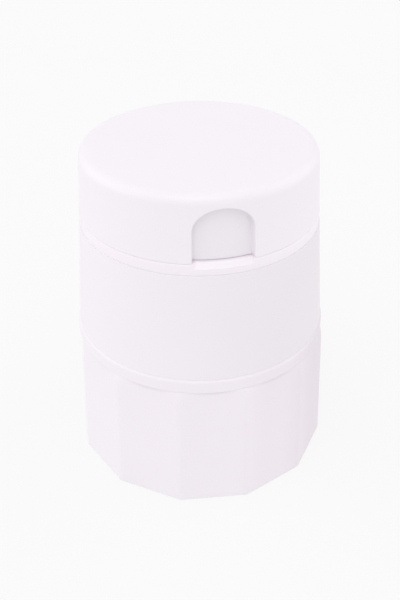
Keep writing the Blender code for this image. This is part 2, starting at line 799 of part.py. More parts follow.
def cutter_blade():
    """Straight blade, ground on both sides to an edge along its bottom."""
    half, tip = BLADE_T / 2, 0.04 * MM
    section = [
        (-half, BLADE_TOP),
        (-half, BLADE_GRIND),
        (-tip, BLADE_EDGE),
        (tip, BLADE_EDGE),
        (half, BLADE_GRIND),
        (half, BLADE_TOP),
    ]
    upright = Matrix.Rotation(math.pi / 2, 4, "X")
    front, back = BLADE_Y
    return as_part(slab("cutter_blade", section, -back, -front, upright), STEEL)


def blade_screws():
    for side, sign in (("left", -1), ("right", 1)):
        place = Vector((sign * HOLDER_SCREW_X, HOLDER_SCREW_Y, EAR[0] - GAP))
        screw_part(f"blade_screw_{side}", place, pointing_up=True, **BLADE_SCREW)


def hang_lid_pieces():
    """The lid's pieces turn on the hinge, so their parent is an empty on its axis."""
    hinge = bpy.data.objects.new("lid_hinge_axis", None)
    hinge.location = HINGE
    PARTS.objects.link(hinge)
    for name in ("lid_shell", "blade_holder", "cutter_blade", "blade_screw_left", "blade_screw_right"):
        piece = bpy.data.objects[name]
        piece.parent = hinge
        piece.matrix_parent_inverse = Matrix.Translation(-HINGE)


clear_scene()
PARTS = collection("pill_crusher")
CUTTERS = collection("cutters")

for make in (
    base_cup,
    grinding_plate,
    cup_seal,
    screw_piston,
    crushing_plate,
    plate_screw,
    piston_screws,
    middle_shell,
    storage_divider,
    cutter_tray,
    tray_seal,
    pill_grips,
    hinge_pin,
    lid_shell,
    blade_holder,
    cutter_blade,
    blade_screws,
    hang_lid_pieces,
):
    make()
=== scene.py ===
"""The pill crusher's looks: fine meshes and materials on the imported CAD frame.

Metres, in the frame's own space: +Z up, thumb recess towards -Y, hinge at +Y. The functions under
"Pieces" build the visible pieces, and each call of place_piece says which body a piece rides on and
which CAD node it stands for.
"""

import math

import bmesh
import bpy
import numpy as np
from mathutils import Matrix, Vector

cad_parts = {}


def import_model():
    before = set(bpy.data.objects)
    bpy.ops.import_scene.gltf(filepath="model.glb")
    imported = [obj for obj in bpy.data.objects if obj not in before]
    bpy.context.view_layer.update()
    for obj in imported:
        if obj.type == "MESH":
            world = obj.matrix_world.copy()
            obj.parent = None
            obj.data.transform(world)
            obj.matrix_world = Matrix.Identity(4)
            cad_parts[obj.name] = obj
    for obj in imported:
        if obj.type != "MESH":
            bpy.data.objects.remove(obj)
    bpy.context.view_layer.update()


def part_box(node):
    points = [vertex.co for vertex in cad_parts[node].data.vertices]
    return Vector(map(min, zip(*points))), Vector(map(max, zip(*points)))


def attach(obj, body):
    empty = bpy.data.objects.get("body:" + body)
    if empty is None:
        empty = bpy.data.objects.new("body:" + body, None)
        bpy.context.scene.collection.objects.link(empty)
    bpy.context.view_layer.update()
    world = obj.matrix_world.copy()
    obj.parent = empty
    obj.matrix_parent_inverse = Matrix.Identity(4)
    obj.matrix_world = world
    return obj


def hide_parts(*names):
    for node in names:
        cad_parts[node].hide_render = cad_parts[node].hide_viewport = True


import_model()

MM = 0.001

# Fineness of the meshes.
COLUMNS = 360
SMALL_COLUMNS = 64
ARC_STEPS = 6
WELD = 1e-7
SHARP_ANGLE = math.radians(38)
ONE_DEGREE = math.radians(1)

# Clearances, seams, and how far a shell sinks into another or a cutter reaches past a wall.
GAP = 0.3 * MM
SEAM = 0.02 * MM
SEAM_FILLET = 0.06 * MM
OVERLAP = 0.4 * MM
OVERCUT = 1.0 * MM

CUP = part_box("base_cup")
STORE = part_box("middle_shell")
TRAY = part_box("cutter_tray")
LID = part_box("lid_shell")
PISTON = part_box("screw_piston")
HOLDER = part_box("blade_holder")
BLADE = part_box("cutter_blade")
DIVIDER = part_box("storage_divider")
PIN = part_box("hinge_pin")


def seam_between(lower, upper):
    """Heights of the two visible edges at a closed seam, halfway between two CAD faces."""
    middle = (lower + upper) / 2
    return middle - SEAM / 2, middle + SEAM / 2


# Cup: facets under a round rim. A higher CUP_BLEND sharpens their edge with the shoulder.
FACETS = 12
FACET_TURN = math.radians(10)
CUP_CORNER_R = 35.8 * MM
CUP_CORNER_TOP_R = 34.35 * MM
CUP_CORNER_FILLET = 2.2 * MM
CUP_RIM_R = 33.85 * MM
CUP_RIM_BOTTOM = 36.85 * MM
CUP_RIM_STEP = 0.05 * MM
CUP_RIM_CHAMFER = (0.42 * MM, 0.6 * MM)
CUP_SHOULDER = (0.95 * MM, 2.6 * MM)
CUP_SCOOP = 0.9 / MM
CUP_SCOOP_H = 1.2 * MM
CUP_BLEND = 140
CUP_WALL_ROWS = (33.0 * MM, 2.0 * MM)
CUP_FOOT_FILLET = 0.6 * MM
CUP_FOOT_R = 29.8 * MM
CUP_BORE_R = 30.2 * MM
CUP_FLOOR = 3.0 * MM
FOOT_GROOVE_R = (10.0 * MM, 28.5 * MM)
FOOT_GROOVE_DEPTH = 0.8 * MM

# Screw thread and the piston that carries it. RIB_RUN_OUT is in degrees.
THREAD_LEAD = 6.0 * MM
THREAD_START = 27.5 * MM
MALE_TURNS = 1.5
FEMALE_TURNS = 1.0
RIB_ROOT_HALF = 1.1 * MM
RIB_CREST_HALF = 0.6 * MM
RIB_CREST_FILLET = 0.25 * MM
RIB_RUN_OUT = 14
MALE_CREST_R = 29.75 * MM
FEMALE_CREST_R = 29.15 * MM
PISTON_R = 28.6 * MM
PISTON_WALL = 2.0 * MM
PISTON_FLOOR = 12.0 * MM
PISTON_HUB = (3.4 * MM, 18.0 * MM)
PLATE_SCREW_HOLE_R = 1.65 * MM
POST_R = 3.0 * MM

# Toothed plates.
TEETH = 24
TOOTH_H = 0.8 * MM
TOOTH_FADE = (5.4 * MM, 7.0 * MM)
TOOTH_RISE_R = 6.5 * MM
TOOTH_FULL_R = 9.0 * MM
PLATE_RIM = 0.2 * MM
PLATE_RIM_SLOPE = 1.5
PLATE_CHAMFER = 0.25 * MM
PLATE_COUNTERBORE = (3.5 * MM, 8.5 * MM)

# Store and divider.
CUP_TOP, STORE_BOTTOM = seam_between(CUP[1].z, STORE[0].z)
STORE_SKIRT_R = 32.0 * MM
STORE_TOP_R = 31.35 * MM
STORE_BOTTOM_R = 33.5 * MM
STORE_WALL = 1.85 * MM
STORE_FLOOR = 45.6 * MM
STORE_UNDERSIDE = 42.6 * MM
FLOOR_SCREW_CIRCLE = 21.0 * MM
FLOOR_SCREW_ANGLES = (45, 165, 285)
FLOOR_COUNTERBORE = (2.75 * MM, 43.8 * MM)
FLOOR_HOLE_R = 1.35 * MM
VANE_THICKNESS = 1.2 * MM
VANE_STEP = 0.5 * MM
HUB_R = 2.6 * MM

# Tray, between its seams with the store and the lid, and the seals.
CAD_COLLAR_BOTTOM = 70.25 * MM
CAD_COLLAR_TOP = 72.95 * MM
CAD_LID_RIM = 73.3 * MM
STORE_TOP, COLLAR_BOTTOM = seam_between(STORE[1].z, CAD_COLLAR_BOTTOM)
COLLAR_TOP, LID_BOTTOM = seam_between(CAD_COLLAR_TOP, CAD_LID_RIM)
COLLAR_R = 31.2 * MM
COLLAR_FILLET = 0.5 * MM
CHAMFER = 1.3 * MM
CHAMFER_HALF = math.radians(13.5)
TRAY_UNDERSIDE = 71.15 * MM
TRAY_WALL_R = 24.9 * MM
TRAY_WALL = 1.4 * MM
PLUG_R = 28.95 * MM
PLUG_WALL = 2.1 * MM
PLUG_GROOVE_R = 27.65 * MM
PLUG_GROOVE = (66.2 * MM, 68.6 * MM)
CUTTING_SLOT_HALF = 0.8 * MM
CUP_SEAL_WIDTH = 1.2 * MM
TRAY_SEAL_WIDTH = 1.35 * MM

# Pill jaws: the V's tip and mouth, and the outline of the right jaw's back.
JAW_TIP = Vector((0.9, 8.0)) * MM
JAW_MOUTH = Vector((10.0, -12.0)) * MM
JAW_BACK_MM = ((0.9, 12.5), (2.2, 14.0), (11.0, 14.0), (16.0, 6.5), (16.0, -7.0), (13.6, -12.0))
JAW_RIDGES = 15
JAW_RIDGE_STEPS = 6
JAW_RIDGE_HALF = 0.16 * MM

# Lid, thumb recess and hinge. PATCH_HALF is in whole degrees.
LID_R = 31.1 * MM
LID_TOP_R = 30.0 * MM
LID_WALL = 2.1 * MM
LID_MEAN_R = (LID_R + LID_TOP_R) / 2
LID_EDGE = 2.5 * MM
LID_EDGE_BOTTOM = LID[1].z - LID_EDGE
LID_FOOT = 0.06 * MM
LID_CEILING = 88.0 * MM
BOSS_PLACES = ((-8.5 * MM, -2.0 * MM), (8.5 * MM, -2.0 * MM))
BOSS_R = 2.6 * MM
BOSS_BOTTOM = 85.3 * MM
BOSS_HOLE_R = 1.25 * MM
RECESS_HALF_W = 7.45 * MM
RECESS_TOP = 86.7 * MM
RECESS_CORNER = (7.3 * MM, 5.9 * MM)
RECESS_DEPTH = 2.0 * MM
RECESS_RIM = 0.3 * MM
RECESS_GAP = 0.1 * MM
RECESS_GAP_REACH = 1.2 * MM
RECESS_INNER_FILLET = 0.25 * MM
RECESS_PANEL_STEP = 1.9 * MM
RECESS_PANEL_HALF = math.radians(20.5)
RECESS_PANEL_SOFT = math.radians(3)
RECESS_PANEL_GROWTH = 6
RECESS_ROWS = (1.0, 0.75, 0.5, 0.25, 0.06)
PATCH_HALF = 22
HINGE = Vector((0.0, 33.1, 73.1)) * MM
KNUCKLE_R = 1.9 * MM
KNUCKLE_SPLIT = 5.05 * MM
KNUCKLE_END = 9.6 * MM
KNUCKLE_GAP = 0.15 * MM
PIN_R = 0.80 * MM
PIN_BORE_R = 0.88 * MM
ARM_INSET = 0.1 * MM
ARM_REACH = 1.1 * MM

# Blade and its holder.
HOLDER_HALF = 3.2 * MM
HOLDER_EARS = ((-5.1 * MM, 83.5 * MM), (1.1 * MM, 85.0 * MM))
HOLDER_SLOT_HALF = 0.55 * MM
HOLDER_HOLE = (82.0 * MM, 86.5 * MM)
BLADE_GRIND = 74.1 * MM
BLADE_EDGE_HALF = 0.03 * MM

# Screws: radius and height of the head, radius of the shank, height of the seat.
PLATE_SCREW = (3.1 * MM, 1.4 * MM, 1.3 * MM, 8.2 * MM)
FLOOR_SCREW = (2.4 * MM, 1.35 * MM, 1.0 * MM, 44.1 * MM)
HOLDER_SCREW = (1.9 * MM, 1.3 * MM, 0.95 * MM, 83.2 * MM)
SCREW_PITCH = 0.7 * MM
SCREW_CORE_STEP = 0.05 * MM

# Where along X the painted shade on the store and cup starts and ends, and the cup's nearer share.
STORE_PAINTED_SHADE = (-16.0 * MM, 32.0 * MM)
CUP_PAINTED_SHADE_NEAR = (2.0 * MM, 12.0 * MM)
CUP_PAINTED_SHADE_FAR = (16.0 * MM, 30.0 * MM)
CUP_NEAR_SHARE = 0.25

# Studio: the camera looks at a point on the axis; angles are in degrees.
CAMERA_TARGET = Vector((0.0, 0.0, 42.5)) * MM
CAMERA_DISTANCE = 239.72 * MM
CAMERA_AZIMUTH = -10.7
CAMERA_ELEVATION = 33.846
CAMERA_ROLL = 0.42
CAMERA_LENS = 51.27
FLOOR_REACH = 6.0
FLOOR_COLOR = 0.15
FLOOR_GLOW = 0.797
BACKDROP = 0.956
DOME_BASE = 0.831
DOME_LEFT = 0.085
DOME_LAMPS = (  # brightness, azimuth, elevation, width
    (0.74, -15.0, 60.0, 38.0),
    (0.62, 92.0, 22.0, 45.0),
    (0.50, -110.0, 20.0, 45.0),
)
KEY_AZIMUTH, KEY_ELEVATION = -20.0, 62.0
KEY_STRENGTH = 0.1
KEY_SPREAD = 15


# Mesh helpers ------------------------------------------------------------------------------------


def rounded(corners, arc_steps=ARC_STEPS):
    """Profile points from (radius, height[, fillet]) corners, with each fillet as an arc."""
    points = []
    for index, corner in enumerate(corners):
        place = Vector(corner[:2])
        fillet = corner[2] if len(corner) > 2 else 0.0
        if not fillet:
            points.append(place)
            continue
        to_last = (Vector(corners[index - 1][:2]) - place).normalized()
        to_next = (Vector(corners[(index + 1) % len(corners)][:2]) - place).normalized()
        half = to_last.angle(to_next) / 2
        centre = place + (to_last + to_next).normalized() * fillet / math.sin(half)
        first = place + to_last * fillet / math.tan(half) - centre
        last = place + to_next * fillet / math.tan(half) - centre
        sweep = first.angle(last)
        for step in range(arc_steps + 1):
            share = step / arc_steps
            arm = first * math.sin((1 - share) * sweep) + last * math.sin(share * sweep)
            points.append(centre + arm / math.sin(sweep))
    return np.array([tuple(point) for point in points])


def grid(points, wrap_rows=False, wrap_columns=True):
    """A mesh of quads over an array of points, rows by columns."""
    rows, columns = points.shape[:2]
    index = np.arange(rows * columns).reshape(rows, columns)
    right = np.roll(index, -1, axis=1)
    corners = [index, right, np.roll(right, -1, axis=0), np.roll(index, -1, axis=0)]
    quads = np.stack(corners, axis=-1)
    if not wrap_rows:
        quads = quads[:-1]
    if not wrap_columns:
        quads = quads[:, :-1]
    mesh = bpy.data.meshes.new("grid")
    mesh.from_pydata(points.reshape(-1, 3).tolist(), [], quads.reshape(-1, 4).tolist())
    return mesh


def around(radius, turn, height):
    """Points from arrays of radius, turn from the front (-Y) towards +X, and height."""
    radius, turn, height = np.broadcast_arrays(radius, turn, height)
    return np.stack([radius * np.sin(turn), -radius * np.cos(turn), height], axis=-1)


def lathe(corners, closed=False, columns=COLUMNS, reshape=None):
    """A turned shell. An open profile starts and ends on the axis."""
    profile = rounded(corners)
    turn = np.arange(columns) * math.tau / columns
    radius, height = profile[:, :1], profile[:, 1:]
    if reshape:
        radius = reshape(radius, height, turn)
    return grid(around(radius, turn, height), wrap_rows=closed)


def lathe_x(corners, closed=False):
    """A shell turned about the hinge line: corners are (radius, x[, fillet])."""
    mesh = lathe(corners, closed, SMALL_COLUMNS)
    mesh.transform(Matrix.Translation(HINGE) @ Matrix.Rotation(math.pi / 2, 4, "Y"))
    return mesh


def rod(radius, low, high, centre=(0.0, 0.0), fillet=0.0):
    corners = [(0.0, high), (radius, high, fillet), (radius, low, fillet), (0.0, low)]
    mesh = lathe(corners, columns=SMALL_COLUMNS)
    mesh.transform(Matrix.Translation((*centre, 0.0)))
    return mesh


def tube(outer, inner, low, high, centre):
    fillet = 0.15 * MM
    corners = [(inner, low), (outer, low, fillet), (outer, high, fillet), (inner, high)]
    mesh = lathe(corners, closed=True, columns=SMALL_COLUMNS)
    mesh.transform(Matrix.Translation((*centre, 0.0)))
    return mesh


def block(low, high, bevel=0.0):
    low, high = Vector(low), Vector(high)
    shape = bmesh.new()
    bmesh.ops.create_cube(shape, size=1.0)
    bmesh.ops.transform(shape, matrix=Matrix.Diagonal((*(high - low), 1.0)), verts=shape.verts)
    bmesh.ops.translate(shape, vec=(low + high) / 2, verts=shape.verts)
    if bevel:
        bevelled(shape, shape.edges[:], bevel, 3)
    return made(shape)


def prism(outline, low, high, bevel=0.0):
    """A flat outline made thick along Z, with its upper and lower edges rounded."""
    shape = bmesh.new()
    bottom = [shape.verts.new((x, y, low)) for x, y in outline]
    base = shape.faces.new(bottom)
    raised = bmesh.ops.extrude_face_region(shape, geom=[base])["geom"]
    lifted = [item for item in raised if isinstance(item, bmesh.types.BMVert)]
    bmesh.ops.translate(shape, vec=(0.0, 0.0, high - low), verts=lifted)
    bmesh.ops.recalc_face_normals(shape, faces=shape.faces)
    if bevel:
        bevelled(shape, [edge for edge in shape.edges if is_level(edge)], bevel, 4)
    return made(shape)


def bevelled(shape, edges, width, steps):
    bmesh.ops.bevel(shape, geom=edges, offset=width, segments=steps, profile=0.5, affect="EDGES")


def is_level(edge):
    return abs(edge.verts[0].co.z - edge.verts[1].co.z) < WELD


def made(shape):
    mesh = bpy.data.meshes.new("made")
    shape.to_mesh(mesh)
    shape.free()
    return mesh


def joined(*meshes):
    """The shells as one mesh, welded, closed where flat loops are left open, normals outward."""
    shape = bmesh.new()
    for mesh in meshes:
        shape.from_mesh(mesh)
        bpy.data.meshes.remove(mesh)
    bmesh.ops.remove_doubles(shape, verts=shape.verts, dist=WELD)
    bmesh.ops.dissolve_degenerate(shape, edges=shape.edges, dist=WELD)
    open_edges = [edge for edge in shape.edges if edge.is_boundary]
    if open_edges:
        bmesh.ops.triangle_fill(shape, use_beauty=True, edges=open_edges)
    bmesh.ops.recalc_face_normals(shape, faces=shape.faces)
    return made(shape)


def linked(name, data):
    """A new object in the scene."""
    item = bpy.data.objects.new(name, data)
    bpy.context.scene.collection.objects.link(item)
    return item


def combined(mesh, tools, operation="DIFFERENCE"):
    """The mesh after a Boolean with each tool."""
    target = linked("target", mesh)
    helpers = [linked("helper", tool) for tool in tools]
    for helper in helpers:
        modifier = target.modifiers.new("boolean", "BOOLEAN")
        modifier.operation = operation
        modifier.object = helper
        modifier.solver = "EXACT"
    graph = bpy.context.evaluated_depsgraph_get()
    result = bpy.data.meshes.new_from_object(target.evaluated_get(graph))
    for item in (target, *helpers):
        bpy.data.objects.remove(item, do_unlink=True)
    return result


def thread_rib(root_r, crest_r, start_z, turns):
    """A rounded screw rib that sinks into its wall at both ends."""
    section = rounded(
        [
            (root_r, -RIB_ROOT_HALF),
            (crest_r, -RIB_CREST_HALF, RIB_CREST_FILLET),
            (crest_r, RIB_CREST_HALF, RIB_CREST_FILLET),
            (root_r, RIB_ROOT_HALF),
        ],
        3,
    )
    steps = round(turns * COLUMNS)
    share = np.linspace(0.0, 1.0, steps + 1)[:, None]
    run_out = np.clip(np.minimum(share, 1 - share) * turns * 360 / RIB_RUN_OUT, 0.0, 1.0)
    rise = run_out * run_out * (3 - 2 * run_out)
    radius = root_r + (section[:, 0] - root_r) * rise
    height = start_z + share * turns * THREAD_LEAD + section[:, 1] * np.sqrt(rise)
    turn = math.pi / 2 + share * turns * math.tau
    return grid(around(radius, turn, height))


def rounded_polygon(turn, apothem, corner):
    """Radius of a regular polygon with rounded corners, seen from its centre."""
    half = math.pi / FACETS
    facet_turn = FACET_TURN + math.pi / 2
    from_corner = np.abs((turn - facet_turn + half) % (2 * half) - half)
    centre = (apothem - corner) / math.cos(half)
    tangent = half - np.arctan((apothem - corner) * math.tan(half) / apothem)
    flat = apothem / np.cos(half - from_corner)
    within = np.maximum(corner**2 - (centre * np.sin(from_corner)) ** 2, 0.0)
    curved = centre * np.cos(from_corner) + np.sqrt(within)
    return np.where(from_corner < tangent, curved, flat)


def smooth_step(value, low, high):
    share = np.clip((value - low) / (high - low), 0.0, 1.0)
    return share * share * (3 - 2 * share)


# Materials ---------------------------------------------------------------------------------------


class Nodes:
    """A small helper that adds and links shader nodes in one tree."""

    def __init__(self, tree):
        self.tree = tree

    def add(self, kind, **settings):
        node = self.tree.nodes.new(kind)
        for key, value in settings.items():
            setattr(node, key, value)
        return node

    def link(self, output, socket):
        self.tree.links.new(output, socket)


def new_material(name, color, roughness, **constants):
    material = bpy.data.materials.new(name)
    material.use_nodes = True
    shader = material.node_tree.nodes["Principled BSDF"]
    shader.inputs["Base Color"].default_value = (*color, 1.0)
    shader.inputs["Roughness"].default_value = roughness
    for key, value in constants.items():
        shader.inputs[key.replace("_", " ").title()].default_value = value
    return material, Nodes(material.node_tree), shader


def noise(nodes, scale, detail=4.0, stretch=(1.0, 1.0, 1.0)):
    place = nodes.add("ShaderNodeTexCoord")
    mapping = nodes.add("ShaderNodeMapping")
    mapping.inputs["Scale"].default_value = stretch
    nodes.link(place.outputs["Object"], mapping.inputs["Vector"])
    texture = nodes.add("ShaderNodeTexNoise")
    texture.inputs["Scale"].default_value = scale
    texture.inputs["Detail"].default_value = detail
    nodes.link(mapping.outputs["Vector"], texture.inputs["Vector"])
    return texture.outputs["Fac"]


def ranged(nodes, value, low, high):
    """A value from 0 to 1, spread from low to high."""
    ranger = nodes.add("ShaderNodeMapRange")
    ranger.inputs["To Min"].default_value = low
    ranger.inputs["To Max"].default_value = high
    nodes.link(value, ranger.inputs["Value"])
    return ranger.outputs["Result"]


def color_between(nodes, factor, first, second):
    ramp = nodes.add("ShaderNodeValToRGB")
    ramp.color_ramp.elements[0].color = (*first, 1.0)
    ramp.color_ramp.elements[0].position = 0.35
    ramp.color_ramp.elements[1].color = (*second, 1.0)
    ramp.color_ramp.elements[1].position = 0.65
    nodes.link(factor, ramp.inputs["Fac"])
    return ramp.outputs["Color"]


def bump(nodes, height, distance, shader, strength):
    node = nodes.add("ShaderNodeBump")
    node.inputs["Distance"].default_value = distance
    node.inputs["Strength"].default_value = strength
    nodes.link(height, node.inputs["Height"])
    nodes.link(node.outputs["Normal"], shader.inputs["Normal"])


def blended(nodes, factor, first, second):
    """The first color at 0 and the second at 1: sockets 6 and 7 of a Mix node, and output 2."""
    mix = nodes.add("ShaderNodeMix", data_type="RGBA")
    nodes.link(factor, mix.inputs["Factor"])
    nodes.link(first, mix.inputs[6])
    nodes.link(second, mix.inputs[7])
    return mix.outputs[2]


def between(nodes, value, start, end):
    """0 at start and 1 at end, with soft ends."""
    ranger = nodes.add("ShaderNodeMapRange", interpolation_type="SMOOTHSTEP")
    ranger.inputs["From Min"].default_value = start
    ranger.inputs["From Max"].default_value = end
    nodes.link(value, ranger.inputs["Value"])
    return ranger.outputs["Result"]


def of_two(nodes, operation, first, second):
    """A math operation on two values."""
    node = nodes.add("ShaderNodeMath", operation=operation)
    nodes.link(first, node.inputs[0])
    nodes.link(second, node.inputs[1])
    return node.outputs[0]


def product(nodes, first, second):
    return of_two(nodes, "MULTIPLY", first, second)


def added(nodes, first, second):
    return of_two(nodes, "ADD", first, second)


def scaled_sum(nodes, value, scale, offset):
    """The value times scale, plus offset."""
    node = nodes.add("ShaderNodeMath", operation="MULTIPLY_ADD")
    node.inputs[1].default_value = scale
    node.inputs[2].default_value = offset
    nodes.link(value, node.inputs[0])
    return node.outputs[0]


def axes(nodes):
    """The piece's own X, Y and Z, and the distance from its Z axis."""
    place = nodes.add("ShaderNodeTexCoord")
    split = nodes.add("ShaderNodeSeparateXYZ")
    nodes.link(place.outputs["Object"], split.inputs["Vector"])
    flat = nodes.add("ShaderNodeCombineXYZ")
    nodes.link(split.outputs["X"], flat.inputs["X"])
    nodes.link(split.outputs["Y"], flat.inputs["Y"])
    length = nodes.add("ShaderNodeVectorMath", operation="LENGTH")
    nodes.link(flat.outputs["Vector"], length.inputs[0])
    return split.outputs["X"], split.outputs["Y"], split.outputs["Z"], length.outputs["Value"]


def recess_painted_shade(nodes):
    """Painted shade: the floor of the lid's recess is drawn a shade darker."""
    _, _, height, radius = axes(nodes)
    skin = LID_TOP_R - RECESS_RIM
    behind_skin = between(nodes, radius, skin - 0.3 * MM, skin - 0.8 * MM)
    below_arch = between(nodes, height, RECESS_TOP + 0.4 * MM, RECESS_TOP + 0.2 * MM)
    return product(nodes, behind_skin, below_arch)


def store_right_painted_shade(nodes):
    """Painted shade: the store is drawn a little darker towards its right side."""
    return between(nodes, axes(nodes)[0], *STORE_PAINTED_SHADE)


def cup_right_painted_shade(nodes):
    """Painted shade, faintly rosy: the cup is drawn darker to its right, a little at first, then
    fully.
    """
    across = axes(nodes)[0]
    near = scaled_sum(nodes, between(nodes, across, *CUP_PAINTED_SHADE_NEAR), CUP_NEAR_SHARE, 0.0)
    far = scaled_sum(nodes, between(nodes, across, *CUP_PAINTED_SHADE_FAR), 1 - CUP_NEAR_SHARE, 0.0)
    return added(nodes, near, far)


def white_abs(name, color, painted_shade=None, painted_shade_share=(1.0, 1.0, 1.0)):
    """Satin moulded ABS: a faint lavender white, a fine mould grain and uneven gloss.

    Where the given mask is 1, the color is multiplied by the given share: painted shade.
    """
    material, nodes, shader = new_material(name, color, 0.34)
    spread = 0.004
    darker, lighter = (tuple(value + sign * spread for value in color) for sign in (-1, 1))
    cloud = noise(nodes, 45.0, 3.0)
    tint = color_between(nodes, cloud, darker, lighter)
    if painted_shade:
        # Painted shade: a darker copy of the tint, blended in where the mask is 1.
        ends = [tuple(c * share for c, share in zip(end, painted_shade_share)) for end in (darker, lighter)]
        tint = blended(nodes, painted_shade(nodes), tint, color_between(nodes, cloud, *ends))
    nodes.link(tint, shader.inputs["Base Color"])
    nodes.link(ranged(nodes, noise(nodes, 260.0), 0.30, 0.40), shader.inputs["Roughness"])
    bump(nodes, noise(nodes, 5200.0, 2.0), 0.004 * MM, shader, 0.35)
    return material


def frosted_plastic():
    material, nodes, shader = new_material("frosted_plastic", (0.90, 0.90, 0.93), 0.45)
    shader.inputs["Transmission Weight"].default_value = 0.55
    shader.inputs["IOR"].default_value = 1.49
    nodes.link(ranged(nodes, noise(nodes, 900.0), 0.38, 0.52), shader.inputs["Roughness"])
    bump(nodes, noise(nodes, 4200.0, 3.0), 0.01 * MM, shader, 0.5)
    return material


def silicone():
    material, nodes, shader = new_material("silicone", (0.74, 0.73, 0.77), 0.6)
    shader.inputs["Subsurface Weight"].default_value = 0.25
    shader.inputs["Subsurface Scale"].default_value = 0.8 * MM
    shader.inputs["Subsurface Radius"].default_value = (1.0, 1.0, 1.0)
    tint = color_between(nodes, noise(nodes, 300.0), (0.70, 0.69, 0.74), (0.77, 0.76, 0.80))
    nodes.link(tint, shader.inputs["Base Color"])
    nodes.link(ranged(nodes, noise(nodes, 1400.0), 0.52, 0.68), shader.inputs["Roughness"])
    bump(nodes, noise(nodes, 6000.0, 2.0), 0.012 * MM, shader, 0.5)
    return material


def brushed_steel(name, stretch):
    """Stainless steel with fine scratches along the direction that stretch keeps low."""
    material, nodes, shader = new_material(name, (0.66, 0.66, 0.68), 0.28, Metallic=1.0)
    scratches = noise(nodes, 900.0, 6.0, stretch)
    tint = color_between(nodes, scratches, (0.60, 0.60, 0.62), (0.72, 0.72, 0.74))
    nodes.link(tint, shader.inputs["Base Color"])
    nodes.link(ranged(nodes, scratches, 0.20, 0.38), shader.inputs["Roughness"])
    bump(nodes, scratches, 0.006 * MM, shader, 0.5)
    return material


def turned_steel():
    """Stainless steel with the fine rings of a lathe round the Z axis."""
    material, nodes, shader = new_material("turned_steel", (0.66, 0.66, 0.68), 0.28, Metallic=1.0)
    place = nodes.add("ShaderNodeTexCoord")
    rings = nodes.add("ShaderNodeTexWave", wave_type="RINGS", rings_direction="Z")
    rings.inputs["Scale"].default_value = 900.0
    rings.inputs["Distortion"].default_value = 1.5
    rings.inputs["Detail"].default_value = 3.0
    nodes.link(place.outputs["Object"], rings.inputs["Vector"])
    nodes.link(ranged(nodes, rings.outputs["Fac"], 0.22, 0.36), shader.inputs["Roughness"])
    tint = color_between(nodes, noise(nodes, 120.0), (0.62, 0.62, 0.64), (0.71, 0.71, 0.73))
    nodes.link(tint, shader.inputs["Base Color"])
    bump(nodes, rings.outputs["Fac"], 0.004 * MM, shader, 0.4)
    return material


# Painted shade in the color: the lid's recess floor and the right sides of store and cup, the cup's
# faintly rosy.
LID_ABS = white_abs("white_abs_lid", (0.866, 0.824, 0.874), recess_painted_shade, (0.965, 0.965, 0.965))
# The tray's white is a little lighter than the others': painted light on its collar under the lid.
TRAY_ABS = white_abs("white_abs_tray", (0.889, 0.840, 0.890))
STORE_ABS = white_abs("white_abs_store", (0.856, 0.814, 0.864), store_right_painted_shade, (0.93, 0.93, 0.93))
CUP_ABS = white_abs("white_abs_cup", (0.862, 0.816, 0.866), cup_right_painted_shade, (0.885, 0.85, 0.87))
FROSTED = frosted_plastic()
SILICONE = silicone()
BLADE_STEEL = brushed_steel("blade_steel", (1.0, 0.06, 1.0))
SCREW_STEEL = brushed_steel("screw_steel", (1.0, 1.0, 0.2))
TURNED_STEEL = turned_steel()


def place_piece(name, mesh, look, slot, body, *nodes):
    """Makes mesh a visible piece that rides on body and stands for the CAD nodes."""
    mesh.name = name
    mesh.materials.clear()
    mesh.materials.append(look)
    mesh.shade_smooth()
    mesh.set_sharp_from_angle(angle=SHARP_ANGLE)
    piece = linked(name, mesh)
    weighted = piece.modifiers.new("weighted_normals", "WEIGHTED_NORMAL")
    weighted.keep_sharp = True
    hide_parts(*nodes)
    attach(piece, body)


# Pieces ------------------------------------------------------------------------------------------


def cup_radius(radius, height, turn):
    """Outside of the cup: soft-edged facets that end in arches under the round rim."""
    outside = radius > CUP_BORE_R + OVERLAP
    draft = (CUP_CORNER_R - CUP_CORNER_TOP_R) / CUP_RIM_BOTTOM
    above_foot = np.clip(1 - height / CUP_FOOT_FILLET, 0.0, 1.0)
    foot = CUP_FOOT_FILLET * (1 - np.sqrt(1 - above_foot**2))
    apothem = (CUP_CORNER_R - draft * height) * math.cos(math.pi / FACETS) - foot
    facets = rounded_polygon(turn, apothem, CUP_CORNER_FILLET)
    under_rim = 1 - smooth_step(CUP_RIM_BOTTOM - height, 0.0, CUP_SCOOP_H)
    depth = np.maximum(CUP_RIM_R - facets, 0.0)
    facets = facets - CUP_SCOOP * depth**2 * under_rim
    scaled = (facets / radius) ** -CUP_BLEND + 1.0
    softened = radius * scaled ** (-1 / CUP_BLEND)
    return np.where(outside & (height < CUP_RIM_BOTTOM + GAP / 2), softened, radius + 0 * turn)


